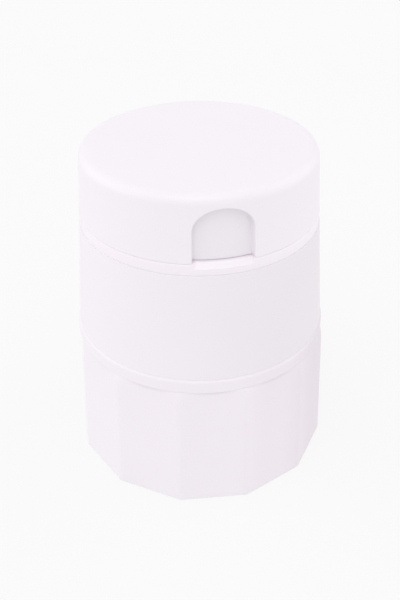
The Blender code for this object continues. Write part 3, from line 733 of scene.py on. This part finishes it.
def base_cup():
    low, high = FOOT_GROOVE_R
    out, down = CUP_SHOULDER
    shoulder = [
        (CUP_RIM_R + out * share, CUP_RIM_BOTTOM - down * share)
        for share in np.linspace(0.02, 1, 14)
    ]
    # These rows are drawn wider than the facets, and cup_radius brings them in.
    wide = CUP_CORNER_R + OVERCUT
    wall_rows = [(wide, height) for height in np.linspace(*CUP_WALL_ROWS, 12)]
    foot_turns = np.linspace(0.0, 1.35, 6)
    foot_rows = [(wide, CUP_FOOT_FILLET * (1 - math.sin(turn))) for turn in foot_turns]
    body = lathe(
        [
            (0.0, CUP_FLOOR),
            (CUP_BORE_R, CUP_FLOOR, 0.8 * MM),
            (CUP_BORE_R, CUP_TOP, 0.5 * MM),
            (CUP_RIM_R - CUP_RIM_CHAMFER[0], CUP_TOP, 0.1 * MM),
            (CUP_RIM_R, CUP_TOP - CUP_RIM_CHAMFER[1], 0.6 * MM),
            (CUP_RIM_R, CUP_RIM_BOTTOM, 0.15 * MM),
            (CUP_RIM_R - CUP_RIM_STEP, CUP_RIM_BOTTOM),
            *shoulder,
            *wall_rows,
            *foot_rows,
            (CUP_FOOT_R, 0.0),
            (high, 0.0, 0.3 * MM),
            (high, FOOT_GROOVE_DEPTH, 0.2 * MM),
            (low, FOOT_GROOVE_DEPTH, 0.2 * MM),
            (low, 0.0, 0.3 * MM),
            (0.0, 0.0),
        ],
        columns=2 * COLUMNS,
        reshape=cup_radius,
    )
    rib_start = THREAD_START + THREAD_LEAD / 2
    rib = thread_rib(CUP_BORE_R + GAP, FEMALE_CREST_R, rib_start, FEMALE_TURNS)
    place_piece("cup_body", joined(body, rib), CUP_ABS, "white_abs", "base", "base_cup")


def middle_store():
    flare = (STORE_BOTTOM_R - STORE_TOP_R) / (STORE[1].z - STORE[0].z)
    floor_r = STORE_TOP_R + flare * (STORE[1].z - STORE_FLOOR)
    shell = joined(
        lathe(
            [
                (0.0, STORE_FLOOR),
                (floor_r - STORE_WALL, STORE_FLOOR, 1.0 * MM),
                (STORE_TOP_R - STORE_WALL, STORE_TOP, 0.3 * MM),
                (STORE_TOP_R, STORE_TOP, 0.2 * MM),
                (STORE_BOTTOM_R, STORE_BOTTOM, SEAM_FILLET),
                (STORE_SKIRT_R, STORE_BOTTOM, 0.3 * MM),
                (STORE_SKIRT_R, STORE_UNDERSIDE, 0.3 * MM),
                (0.0, STORE_UNDERSIDE),
            ]
        )
    )
    tools = []
    wide, seat = FLOOR_COUNTERBORE
    for place in floor_screw_places():
        tools.append(rod(wide, seat, STORE_FLOOR + OVERCUT, place))
        tools.append(rod(FLOOR_HOLE_R, STORE_UNDERSIDE - OVERCUT, STORE_FLOOR + OVERCUT, place))
    shell = combined(shell, tools)
    place_piece("store_shell", shell, STORE_ABS, "white_abs", "upper_body", "middle_shell")


def floor_screw_places():
    for angle in FLOOR_SCREW_ANGLES:
        turn = math.radians(angle)
        yield FLOOR_SCREW_CIRCLE * math.cos(turn), FLOOR_SCREW_CIRCLE * math.sin(turn)


def piston():
    inner = PISTON_R - PISTON_WALL
    low, high = PISTON[0].z, PISTON[1].z
    hub_r, hub_top = PISTON_HUB
    body = lathe(
        [
            (PLATE_SCREW_HOLE_R, hub_top, 0.2 * MM),
            (hub_r, hub_top, 0.3 * MM),
            (hub_r, PISTON_FLOOR, 0.5 * MM),
            (inner, PISTON_FLOOR, 1.0 * MM),
            (inner, high, 0.3 * MM),
            (PISTON_R, high, 0.3 * MM),
            (PISTON_R, low, 0.8 * MM),
            (PLATE_SCREW_HOLE_R, low, 0.2 * MM),
        ],
        closed=True,
    )
    rib = thread_rib(PISTON_R - GAP, MALE_CREST_R, THREAD_START, MALE_TURNS)
    foot = PISTON_FLOOR - OVERLAP
    posts = [tube(POST_R, FLOOR_HOLE_R, foot, high, place) for place in floor_screw_places()]
    mesh = joined(body, rib, *posts)
    place_piece("piston_body", mesh, STORE_ABS, "white_abs", "upper_body", "screw_piston")


# Lid: its outer skin is laid out on the unrolled side, as turn from the front and height.


def skirt_rows():
    """Heights of the skirt's rows, their inset at the foot, and how many are beside the arch."""
    quarter = np.linspace(0.0, math.pi / 2, ARC_STEPS + 1)
    foot = LID_BOTTOM + LID_FOOT * (1 - np.cos(quarter))
    straight = np.linspace(foot[-1], RECESS_TOP - RECESS_CORNER[1], 9)[1:]
    upper = np.linspace(straight[-1], LID_EDGE_BOTTOM, 9)[1:]
    heights = np.concatenate([foot, straight, upper])
    inset = np.zeros(len(heights))
    inset[: len(foot)] = LID_FOOT * (1 - np.sin(quarter))
    return heights, inset, len(upper)


def lid_radius(height):
    """Outside radius of the skirt, which goes on with the store's flare."""
    share = (height - LID_BOTTOM) / (LID[1].z - LID_BOTTOM)
    return LID_R + (LID_TOP_R - LID_R) * share


def on_skin(points, depth):
    """Unrolled points laid on the skirt, or depth below it with the foot clear of the collar."""
    along, height = points[..., 0], points[..., 1]
    heights, inset, _ = skirt_rows()
    set_in = np.interp(height, heights, inset)
    low = np.clip(1 - (height - LID_BOTTOM) / RECESS_GAP_REACH, 0.0, 1.0)
    lifted = height + RECESS_GAP * low * depth / RECESS_DEPTH
    return around(lid_radius(height) - depth - set_in, along / LID_MEAN_R, lifted)


def arch_chain(half, count):
    """Evenly spaced points over the recess's arch, from its right side to its left."""
    across, rise = RECESS_CORNER
    quarter = np.linspace(0.0, math.pi / 2, 60)
    along = half - across + across * np.cos(quarter)
    height = RECESS_TOP - rise + rise * np.sin(quarter)
    right = np.stack([along, height], axis=-1)
    dense = np.concatenate([right, right[::-1] * (-1, 1)])
    steps = np.linalg.norm(np.diff(dense, axis=0), axis=1)
    length = np.concatenate([[0.0], np.cumsum(steps)])
    even = np.linspace(0.0, length[-1], count)
    return np.stack([np.interp(even, length, dense[:, axis]) for axis in (0, 1)], axis=-1)


def mirrored(points):
    return [(-along, height) for along, height in points[::-1]]


def recess_outlines():
    """The recess's outline, the border of the patch around it, and the directions outward."""
    heights, _, upper = skirt_rows()
    side = len(heights) - upper
    degrees = np.arange(PATCH_HALF, -PATCH_HALF - 1, -1)
    top = [(along, LID_EDGE_BOTTOM) for along in degrees * ONE_DEGREE * LID_MEAN_R]
    right = [(top[0][0], height) for height in heights[:-1]]
    border = np.array(right + top + mirrored(right))

    half = LID_MEAN_R * math.asin(RECESS_HALF_W / LID_MEAN_R)
    arch = arch_chain(half, len(border) - 2 * side + 2)
    straight = [(half, height) for height in heights[: side - 1]]
    outline = np.concatenate([straight, arch, mirrored(straight)])

    tangent = np.gradient(outline, axis=0)
    tangent[:side] = (0.0, 1.0)
    tangent[-side:] = (0.0, -1.0)
    tangent /= np.linalg.norm(tangent, axis=1)[:, None]
    outward = np.stack([tangent[:, 1], -tangent[:, 0]], axis=-1)
    return outline, border, outward


def recess_ring(outline, border, outward):
    """From the patch's border over the rounded rim and down to the recess's floor."""
    quarter = np.linspace(0.0, math.pi / 2, ARC_STEPS + 1)
    rim = outline + outward * RECESS_RIM
    rows = [on_skin(rim + (border - rim) * share, 0.0) for share in RECESS_ROWS]
    for angle in quarter:
        point = outline + outward * RECESS_RIM * (1 - math.sin(angle))
        rows.append(on_skin(point, RECESS_RIM * (1 - math.cos(angle))))
    for angle in quarter:
        point = outline - outward * RECESS_INNER_FILLET * (1 - math.cos(angle))
        rows.append(on_skin(point, RECESS_DEPTH - RECESS_INNER_FILLET * (1 - math.sin(angle))))
    return grid(np.array(rows), wrap_columns=False)


def recess_floor(edge):
    """A sheet between the right and the left half of its outline."""
    middle = (len(edge) + 1) // 2
    right, left = edge[:middle, None], edge[::-1][:middle, None]
    across = np.linspace(0.0, 1.0, 15)[None, :, None]
    return grid(on_skin(right + (left - right) * across, RECESS_DEPTH), wrap_columns=False)


def lid_top():
    """The rounded edge and the flat top."""
    quarter = np.linspace(0.0, math.pi / 2, 2 * ARC_STEPS + 1)
    corner_r = lid_radius(LID_EDGE_BOTTOM) - LID_EDGE
    flat = [corner_r - 0.5 * MM, corner_r / 2, 0.0]
    radius = np.concatenate([corner_r + LID_EDGE * np.cos(quarter), flat])
    height = np.concatenate([LID_EDGE_BOTTOM + LID_EDGE * np.sin(quarter), [LID[1].z] * len(flat)])
    return grid(around(radius[:, None], np.arange(360) * ONE_DEGREE, height[:, None]))


def lid_outside():
    """The skirt, the recess with its rounded rim, and the top."""
    heights, inset, _ = skirt_rows()
    turns = np.arange(PATCH_HALF, 360 - PATCH_HALF + 1) * ONE_DEGREE
    radius = lid_radius(heights) - inset
    skirt = grid(around(radius[:, None], turns, heights[:, None]), wrap_columns=False)
    outline, border, outward = recess_outlines()
    floor_edge = outline - outward * RECESS_INNER_FILLET
    return [skirt, recess_ring(outline, border, outward), recess_floor(floor_edge), lid_top()]


def lid_inside():
    """Ceiling and inner wall, set in behind the recess."""
    inner = LID_R - LID_WALL
    profile = rounded(
        [
            (0.0, LID_CEILING),
            (lid_radius(LID_CEILING) - LID_WALL, LID_CEILING, 0.8 * MM),
            (inner, LID_BOTTOM, 0.25 * MM),
            (inner + OVERLAP, LID_BOTTOM),
        ]
    )
    radius, height = profile[:, :1], profile[:, 1:]
    turn = np.arange(360) * ONE_DEGREE
    panel_end = RECESS_PANEL_HALF + RECESS_PANEL_SOFT
    beside = smooth_step(from_front(turn), RECESS_PANEL_HALF, panel_end)
    share = np.minimum((radius / inner) ** RECESS_PANEL_GROWTH, 1.0)
    return grid(around(radius - RECESS_PANEL_STEP * (1 - beside) * share, turn, height))


def from_front(turn):
    """Angle away from the front, to either side."""
    return np.abs((turn + math.pi) % math.tau - math.pi)


def knuckle(low, high, arm_front, arm_low, arm_high):
    """A hinge knuckle with the pin's hole, and the arm that carries it."""
    fillet = 0.2 * MM
    lower = [(PIN_BORE_R, low), (KNUCKLE_R, low, fillet)]
    upper = [(KNUCKLE_R, high, fillet), (PIN_BORE_R, high)]
    barrel = lathe_x(lower + upper, closed=True)
    arm = block(
        (low + KNUCKLE_GAP, arm_front, arm_low),
        (high - KNUCKLE_GAP, HINGE.y - ARM_REACH, arm_high),
        fillet,
    )
    return [barrel, arm]


def lid_cap():
    shell = joined(*lid_outside(), lid_inside())
    end = KNUCKLE_SPLIT - KNUCKLE_GAP
    arm_front = LID_R - LID_WALL + OVERLAP
    hinge = knuckle(-end, end, arm_front, LID_BOTTOM + ARM_INSET, HINGE.z + KNUCKLE_R - ARM_INSET)
    ceiling = LID_CEILING + OVERLAP
    bosses = [tube(BOSS_R, BOSS_HOLE_R, BOSS_BOTTOM, ceiling, place) for place in BOSS_PLACES]
    mesh = joined(shell, *hinge, *bosses)
    place_piece("lid_cap", mesh, LID_ABS, "white_abs", "lid", "lid_shell")


def thumb_chamfer(radius, height, turn):
    """Cuts the collar's upper edge back under the lid's recess."""
    ends = CHAMFER_HALF - ONE_DEGREE, CHAMFER_HALF + ONE_DEGREE
    share = 1 - smooth_step(from_front(turn), *ends)
    limit = COLLAR_R - share * CHAMFER * (1 - (COLLAR_TOP - height) / CHAMFER)
    on_collar = (radius > PLUG_R + OVERLAP) & (height > COLLAR_TOP - CHAMFER)
    return np.where(on_collar, np.minimum(radius, limit), radius + 0 * turn)


def tray_profile():
    """The tray's wall, floor, collar, and plug with the seal's groove."""
    wall_inner = TRAY_WALL_R - TRAY_WALL
    plug_inner = PLUG_R - PLUG_WALL
    groove_low, groove_high = PLUG_GROOVE
    chamfer_steps = np.linspace(CHAMFER, 0.6 * MM, 5)
    return [
        (0.0, COLLAR_TOP),
        (wall_inner, COLLAR_TOP, 0.5 * MM),
        (wall_inner, TRAY[1].z, 0.3 * MM),
        (TRAY_WALL_R, TRAY[1].z, 0.4 * MM),
        (TRAY_WALL_R, COLLAR_TOP, 0.3 * MM),
        *[(COLLAR_R - step, COLLAR_TOP) for step in chamfer_steps],
        (COLLAR_R, COLLAR_TOP, COLLAR_FILLET),
        *[(COLLAR_R, COLLAR_TOP - step) for step in chamfer_steps[::-1]],
        (COLLAR_R, COLLAR_BOTTOM, SEAM_FILLET),
        (PLUG_R, COLLAR_BOTTOM, 0.2 * MM),
        (PLUG_R, groove_high, 0.15 * MM),
        (PLUG_GROOVE_R, groove_high, 0.2 * MM),
        (PLUG_GROOVE_R, groove_low, 0.2 * MM),
        (PLUG_R, groove_low, 0.15 * MM),
        (PLUG_R, TRAY[0].z, 0.5 * MM),
        (plug_inner, TRAY[0].z, 0.3 * MM),
        (plug_inner, TRAY_UNDERSIDE, 0.5 * MM),
        (0.0, TRAY_UNDERSIDE),
    ]


def tray():
    shell = joined(lathe(tray_profile(), columns=2 * COLUMNS, reshape=thumb_chamfer))
    cutting_slot = block(
        (-CUTTING_SLOT_HALF, BLADE[0].y - OVERCUT, BLADE[0].z - GAP),
        (CUTTING_SLOT_HALF, BLADE[1].y + OVERCUT, COLLAR_TOP + OVERCUT),
    )
    relief_half = KNUCKLE_SPLIT + KNUCKLE_GAP
    hinge_relief = block(
        (-relief_half, HINGE.y - KNUCKLE_R - GAP, COLLAR_BOTTOM - OVERCUT),
        (relief_half, HINGE.y + OVERCUT, COLLAR_TOP + OVERCUT),
    )
    shell = combined(shell, [cutting_slot, hinge_relief])
    arm_low, arm_high = HINGE.z - KNUCKLE_R + ARM_INSET, COLLAR_TOP - ARM_INSET
    ears = []
    for sign in (-1, 1):
        low, high = sorted((sign * relief_half, sign * KNUCKLE_END))
        ears += knuckle(low, high, PLUG_R, arm_low, arm_high)
    place_piece("tray_body", joined(shell, *ears), TRAY_ABS, "white_abs", "tray", "cutter_tray")


def seal(name, node, body, width, fillet):
    """A soft ring with rounded edges."""
    low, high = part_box(node)
    inner, outer = high.x - width, high.x
    corners = [(outer, high.z), (outer, low.z), (inner, low.z), (inner, high.z)]
    ring = lathe([(*corner, fillet) for corner in corners], closed=True)
    place_piece(name, joined(ring), SILICONE, "silicone", body, node)


def seals():
    seal("cup_seal_ring", "cup_seal", "seal_ring", CUP_SEAL_WIDTH, 0.45 * MM)
    seal("tray_seal_ring", "tray_seal", "tray", TRAY_SEAL_WIDTH, 0.5 * MM)


def divider():
    low, high = DIVIDER
    half = VANE_THICKNESS / 2
    bottom, top = low.z + 0.05 * MM, high.z - VANE_STEP
    vane_x = block((low.x, -half, bottom), (high.x, half, top), 0.35 * MM)
    vane_y = block((-half, low.y, bottom), (half, high.y, top), 0.35 * MM)
    hub = rod(HUB_R, low.z, high.z, fillet=0.5 * MM)
    mesh = combined(hub, [vane_x, vane_y], "UNION")
    place_piece("divider_cross", mesh, FROSTED, "frosted_plastic", "upper_body", "storage_divider")


def toothed_plate(node, up, hole_r=0.0, counterbore=None):
    """A steel plate with radial teeth around a plain middle, facing up (1) or down (-1)."""
    low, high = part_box(node)
    crest, back = (high.z, low.z) if up > 0 else (low.z, high.z)
    face = crest - up * TOOTH_H
    turn = np.arange(2 * COLUMNS) * math.tau / (2 * COLUMNS)
    wave = np.abs((turn * TEETH / math.tau) % 1 - 0.5) * 2
    ridge = smooth_step(wave, 0.04, 0.96) * 0.3 + wave * 0.7

    outer = high.x
    rim = outer - PLATE_RIM
    full = np.linspace(TOOTH_FULL_R, outer - 0.5 * MM, 6)
    rows = []
    for radius in (hole_r, TOOTH_FADE[0], TOOTH_RISE_R, *full, rim, outer):
        fade = smooth_step(radius, *TOOTH_FADE)
        drop = max(0.0, radius - rim) * PLATE_RIM_SLOPE
        rows.append((radius, face + up * (ridge * TOOTH_H * fade - drop)))
    rows += [(outer, back + up * PLATE_CHAMFER), (outer - PLATE_CHAMFER, back), (hole_r, back)]
    if counterbore:
        bore_r, seat = counterbore
        rows[0] = (bore_r, rows[0][1])
        rows += [(hole_r, seat), (bore_r, seat)]
    radii = np.array([[radius] for radius, _ in rows])
    heights = np.array([height + 0 * turn for _, height in rows])
    return joined(grid(around(radii, turn, heights), wrap_rows=bool(counterbore)))


def plates():
    steel = TURNED_STEEL, "stainless_steel"
    lower = toothed_plate("grinding_plate", 1)
    place_piece("grinding_disc", lower, *steel, "base", "grinding_plate")
    upper = toothed_plate("crushing_plate", -1, PLATE_SCREW_HOLE_R, PLATE_COUNTERBORE)
    place_piece("crushing_disc", upper, *steel, "upper_body", "crushing_plate")


def screw_head(radius, height):
    """A pan head, its seat at zero, with a cross recess."""
    head = lathe(
        [
            (0.0, height),
            (radius * 0.55, height, 0.2 * MM),
            (radius, height * 0.55, height * 0.25),
            (radius, 0.0, 0.1 * MM),
            (0.0, 0.0),
        ],
        columns=SMALL_COLUMNS,
    )
    half, bit = radius * 0.11, radius * 0.55
    bottom, top = height * 0.4, height * 2
    slots = [
        block((-bit, -half, bottom), (bit, half, top)),
        block((-half, -bit, bottom), (half, bit, top)),
    ]
    return combined(joined(head), slots)


def screw_shank(radius, length):
    """A pointed core with a fine thread, below the seat."""
    core = radius * 0.8
    corners = [(0.0, OVERLAP), (core, OVERLAP), (core, radius - length), (core * 0.3, -length)]
    shank = lathe([*corners, (0.0, -length)], columns=SMALL_COLUMNS)
    turns = (length - 1.6 * radius) / SCREW_PITCH
    share = np.linspace(0.0, 1.0, round(turns * 24) + 1)[:, None]
    grow = np.clip(np.minimum(share, 1 - share) * turns * 2, 0.0, 1.0)
    root = core - SCREW_CORE_STEP
    section = np.array([(root, -0.25), (radius, -0.04), (radius, 0.04), (root, 0.25)])
    thread_r = root + (section[:, 0] - root) * grow
    height = -GAP - share * turns * SCREW_PITCH + section[:, 1] * SCREW_PITCH * grow
    return shank, grid(around(thread_r, -share * turns * math.tau, height))


def screw(name, node, body, sizes, tip_up):
    low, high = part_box(node)
    centre = (low + high) / 2
    head_r, head_h, shank_r, seat = sizes
    length = (high.z - seat) if tip_up else (seat - low.z)
    mesh = joined(screw_head(head_r, head_h), *screw_shank(shank_r, length))
    flip = Matrix.Rotation(math.pi, 4, "X") if tip_up else Matrix.Identity(4)
    mesh.transform(Matrix.Translation((centre.x, centre.y, seat)) @ flip)
    place_piece(name, mesh, SCREW_STEEL, "stainless_steel", body, node)


def screws():
    screw("plate_screw", "crushing_plate_screw", "upper_body", PLATE_SCREW, True)
    for number in (1, 2, 3):
        name, node = f"store_floor_screw_{number}", f"piston_screw_{number}"
        screw(name, node, "upper_body", FLOOR_SCREW, False)
    for side in ("left", "right"):
        screw(f"holder_screw_{side}", f"blade_screw_{side}", "lid", HOLDER_SCREW, True)


def jaw_outline():
    """The right jaw: its ridged gripping face, then its back."""
    along = JAW_MOUTH - JAW_TIP
    inward = Vector((-along.y, along.x)).normalized()
    steps = JAW_RIDGES * JAW_RIDGE_STEPS
    face = []
    for step in range(steps, -1, -1):
        ridge = JAW_RIDGE_HALF * (1 - math.cos(step / JAW_RIDGE_STEPS * math.tau))
        face.append(JAW_TIP + along * (step / steps) - inward * ridge)
    return [tuple(point) for point in face] + [(x * MM, y * MM) for x, y in JAW_BACK_MM]


def grips():
    """Two soft jaws that hold a pill in their V."""
    for side, sign in (("left", -1), ("right", 1)):
        node = f"pill_grip_{side}"
        low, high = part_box(node)
        outline = [(sign * x, y) for x, y in jaw_outline()]
        mesh = prism(outline, low.z, high.z, 0.25 * MM)
        place_piece(f"pill_jaw_{side}", mesh, SILICONE, "silicone", "tray", node)


def hinge_pin():
    end, fillet = PIN[1].x, 0.25 * MM
    mesh = lathe_x([(0.0, end), (PIN_R, end, fillet), (PIN_R, -end, fillet), (0.0, -end)])
    place_piece("hinge_rod", joined(mesh), SCREW_STEEL, "stainless_steel", "tray", "hinge_pin")


def blade_holder():
    """A block with two screw ears and a slot for the blade."""
    low, high = HOLDER
    (ear_front, ear_bottom), (ear_back, ear_top) = HOLDER_EARS
    body = block((-HOLDER_HALF, low.y, low.z), (HOLDER_HALF, high.y, high.z), 0.5 * MM)
    ears = block((low.x, ear_front, ear_bottom), (high.x, ear_back, ear_top), 0.3 * MM)
    body = combined(body, [ears], "UNION")
    slot = block(
        (-HOLDER_SLOT_HALF, BLADE[0].y - GAP, low.z - OVERCUT),
        (HOLDER_SLOT_HALF, BLADE[1].y + GAP, BLADE[1].z + GAP),
    )
    holes = [rod(BOSS_HOLE_R, *HOLDER_HOLE, place) for place in BOSS_PLACES]
    mesh = combined(body, [slot, *holes])
    place_piece("blade_carrier", mesh, STORE_ABS, "white_abs", "lid", "blade_holder")


def cutter_blade():
    """A straight blade with a two-sided grind, its edge down."""
    half = (BLADE[1].x - BLADE[0].x) / 2
    bottom, top = BLADE[0].z, BLADE[1].z
    left = [(-half, top), (-half, BLADE_GRIND), (-BLADE_EDGE_HALF, bottom)]
    right = [(-x, z) for x, z in reversed(left)]
    blade = prism(left + right, -BLADE[1].y, -BLADE[0].y)
    blade.transform(Matrix.Rotation(math.pi / 2, 4, "X"))
    place_piece("cutting_blade", blade, BLADE_STEEL, "stainless_steel", "lid", "cutter_blade")


for build in (
    base_cup,
    middle_store,
    piston,
    lid_cap,
    tray,
    seals,
    divider,
    plates,
    screws,
    grips,
    hinge_pin,
    blade_holder,
    cutter_blade,
):
    build()


# Studio ------------------------------------------------------------------------------------------


def floor():
    """A pale floor that glows evenly, so that it shows hardly any shadow."""
    mesh = bpy.data.meshes.new("floor")
    quarters = ((-1, -1), (1, -1), (1, 1), (-1, 1))
    corners = [(x * FLOOR_REACH, y * FLOOR_REACH, 0.0) for x, y in quarters]
    mesh.from_pydata(corners, [], [(0, 1, 2, 3)])
    plane = linked("floor", mesh)
    material, nodes, shader = new_material("studio_floor", (FLOOR_COLOR,) * 3, 0.9)
    shader.inputs["Specular IOR Level"].default_value = 0.0
    shader.inputs["Emission Color"].default_value = (1.0, 1.0, 1.0, 1.0)
    shader.inputs["Emission Strength"].default_value = FLOOR_GLOW
    darker, lighter = ((FLOOR_COLOR + spread,) * 3 for spread in (-0.002, 0.002))
    nodes.link(color_between(nodes, noise(nodes, 6.0), darker, lighter), shader.inputs["Base Color"])
    mesh.materials.append(material)


def world():
    """A soft dome with three wide lamps, darker to the right, and plain where the camera sees it."""
    sky = bpy.data.worlds.new("studio")
    bpy.context.scene.world = sky
    sky.use_nodes = True
    nodes = Nodes(sky.node_tree)
    background = sky.node_tree.nodes["Background"]
    background.inputs["Color"].default_value = (1.0, 1.0, 1.0, 1.0)
    ray = nodes.add("ShaderNodeTexCoord").outputs["Generated"]
    split = nodes.add("ShaderNodeSeparateXYZ")
    nodes.link(ray, split.inputs["Vector"])
    total = scaled_sum(nodes, split.outputs["X"], -DOME_LEFT, DOME_BASE)
    for lamp in DOME_LAMPS:
        total = added(nodes, total, dome_lamp(nodes, ray, *lamp))
    # A float Mix node has its factor in socket 0 and its values in sockets 2 and 3.
    seen = nodes.add("ShaderNodeLightPath")
    choose = nodes.add("ShaderNodeMix", data_type="FLOAT")
    nodes.link(seen.outputs["Is Camera Ray"], choose.inputs[0])
    nodes.link(total, choose.inputs[2])
    choose.inputs[3].default_value = BACKDROP
    nodes.link(choose.outputs[0], background.inputs["Strength"])


def dome_lamp(nodes, ray, brightness, azimuth, elevation, width):
    """Extra light that fades out at width degrees from a direction."""
    toward = nodes.add("ShaderNodeVectorMath", operation="DOT_PRODUCT")
    toward.inputs[1].default_value = direction(azimuth, elevation)
    nodes.link(ray, toward.inputs[0])
    glow = nodes.add("ShaderNodeMapRange", interpolation_type="SMOOTHSTEP")
    glow.inputs["From Min"].default_value = math.cos(math.radians(width))
    glow.inputs["From Max"].default_value = 1.0
    glow.inputs["To Max"].default_value = brightness
    nodes.link(toward.outputs["Value"], glow.inputs["Value"])
    return glow.outputs["Result"]


def direction(azimuth, elevation):
    """Unit vector at an azimuth from the front towards +X, in degrees, and an elevation."""
    turn, rise = math.radians(azimuth), math.radians(elevation)
    return math.sin(turn) * math.cos(rise), -math.cos(turn) * math.cos(rise), math.sin(rise)


def key_light():
    light = bpy.data.lights.new("key", "SUN")
    light.energy = KEY_STRENGTH
    light.angle = math.radians(KEY_SPREAD)
    lamp = linked("key", light)
    lamp.rotation_mode = "QUATERNION"
    toward = Vector(direction(KEY_AZIMUTH, KEY_ELEVATION))
    lamp.rotation_quaternion = toward.to_track_quat("Z", "Y")


def camera():
    data = bpy.data.cameras.new("camera")
    data.sensor_width = 36.0
    data.lens = CAMERA_LENS
    data.clip_start, data.clip_end = 0.01, 20.0
    eye = linked("camera", data)
    back = Vector(direction(CAMERA_AZIMUTH, CAMERA_ELEVATION))
    eye.location = CAMERA_TARGET + back * CAMERA_DISTANCE
    eye.rotation_mode = "QUATERNION"
    roll = Matrix.Rotation(math.radians(-CAMERA_ROLL), 3, "Z").to_quaternion()
    eye.rotation_quaternion = (-back).to_track_quat("-Z", "Y") @ roll
    bpy.context.scene.camera = eye


floor()
world()
key_light()
camera()
bpy.context.scene.view_settings.view_transform = "Standard"
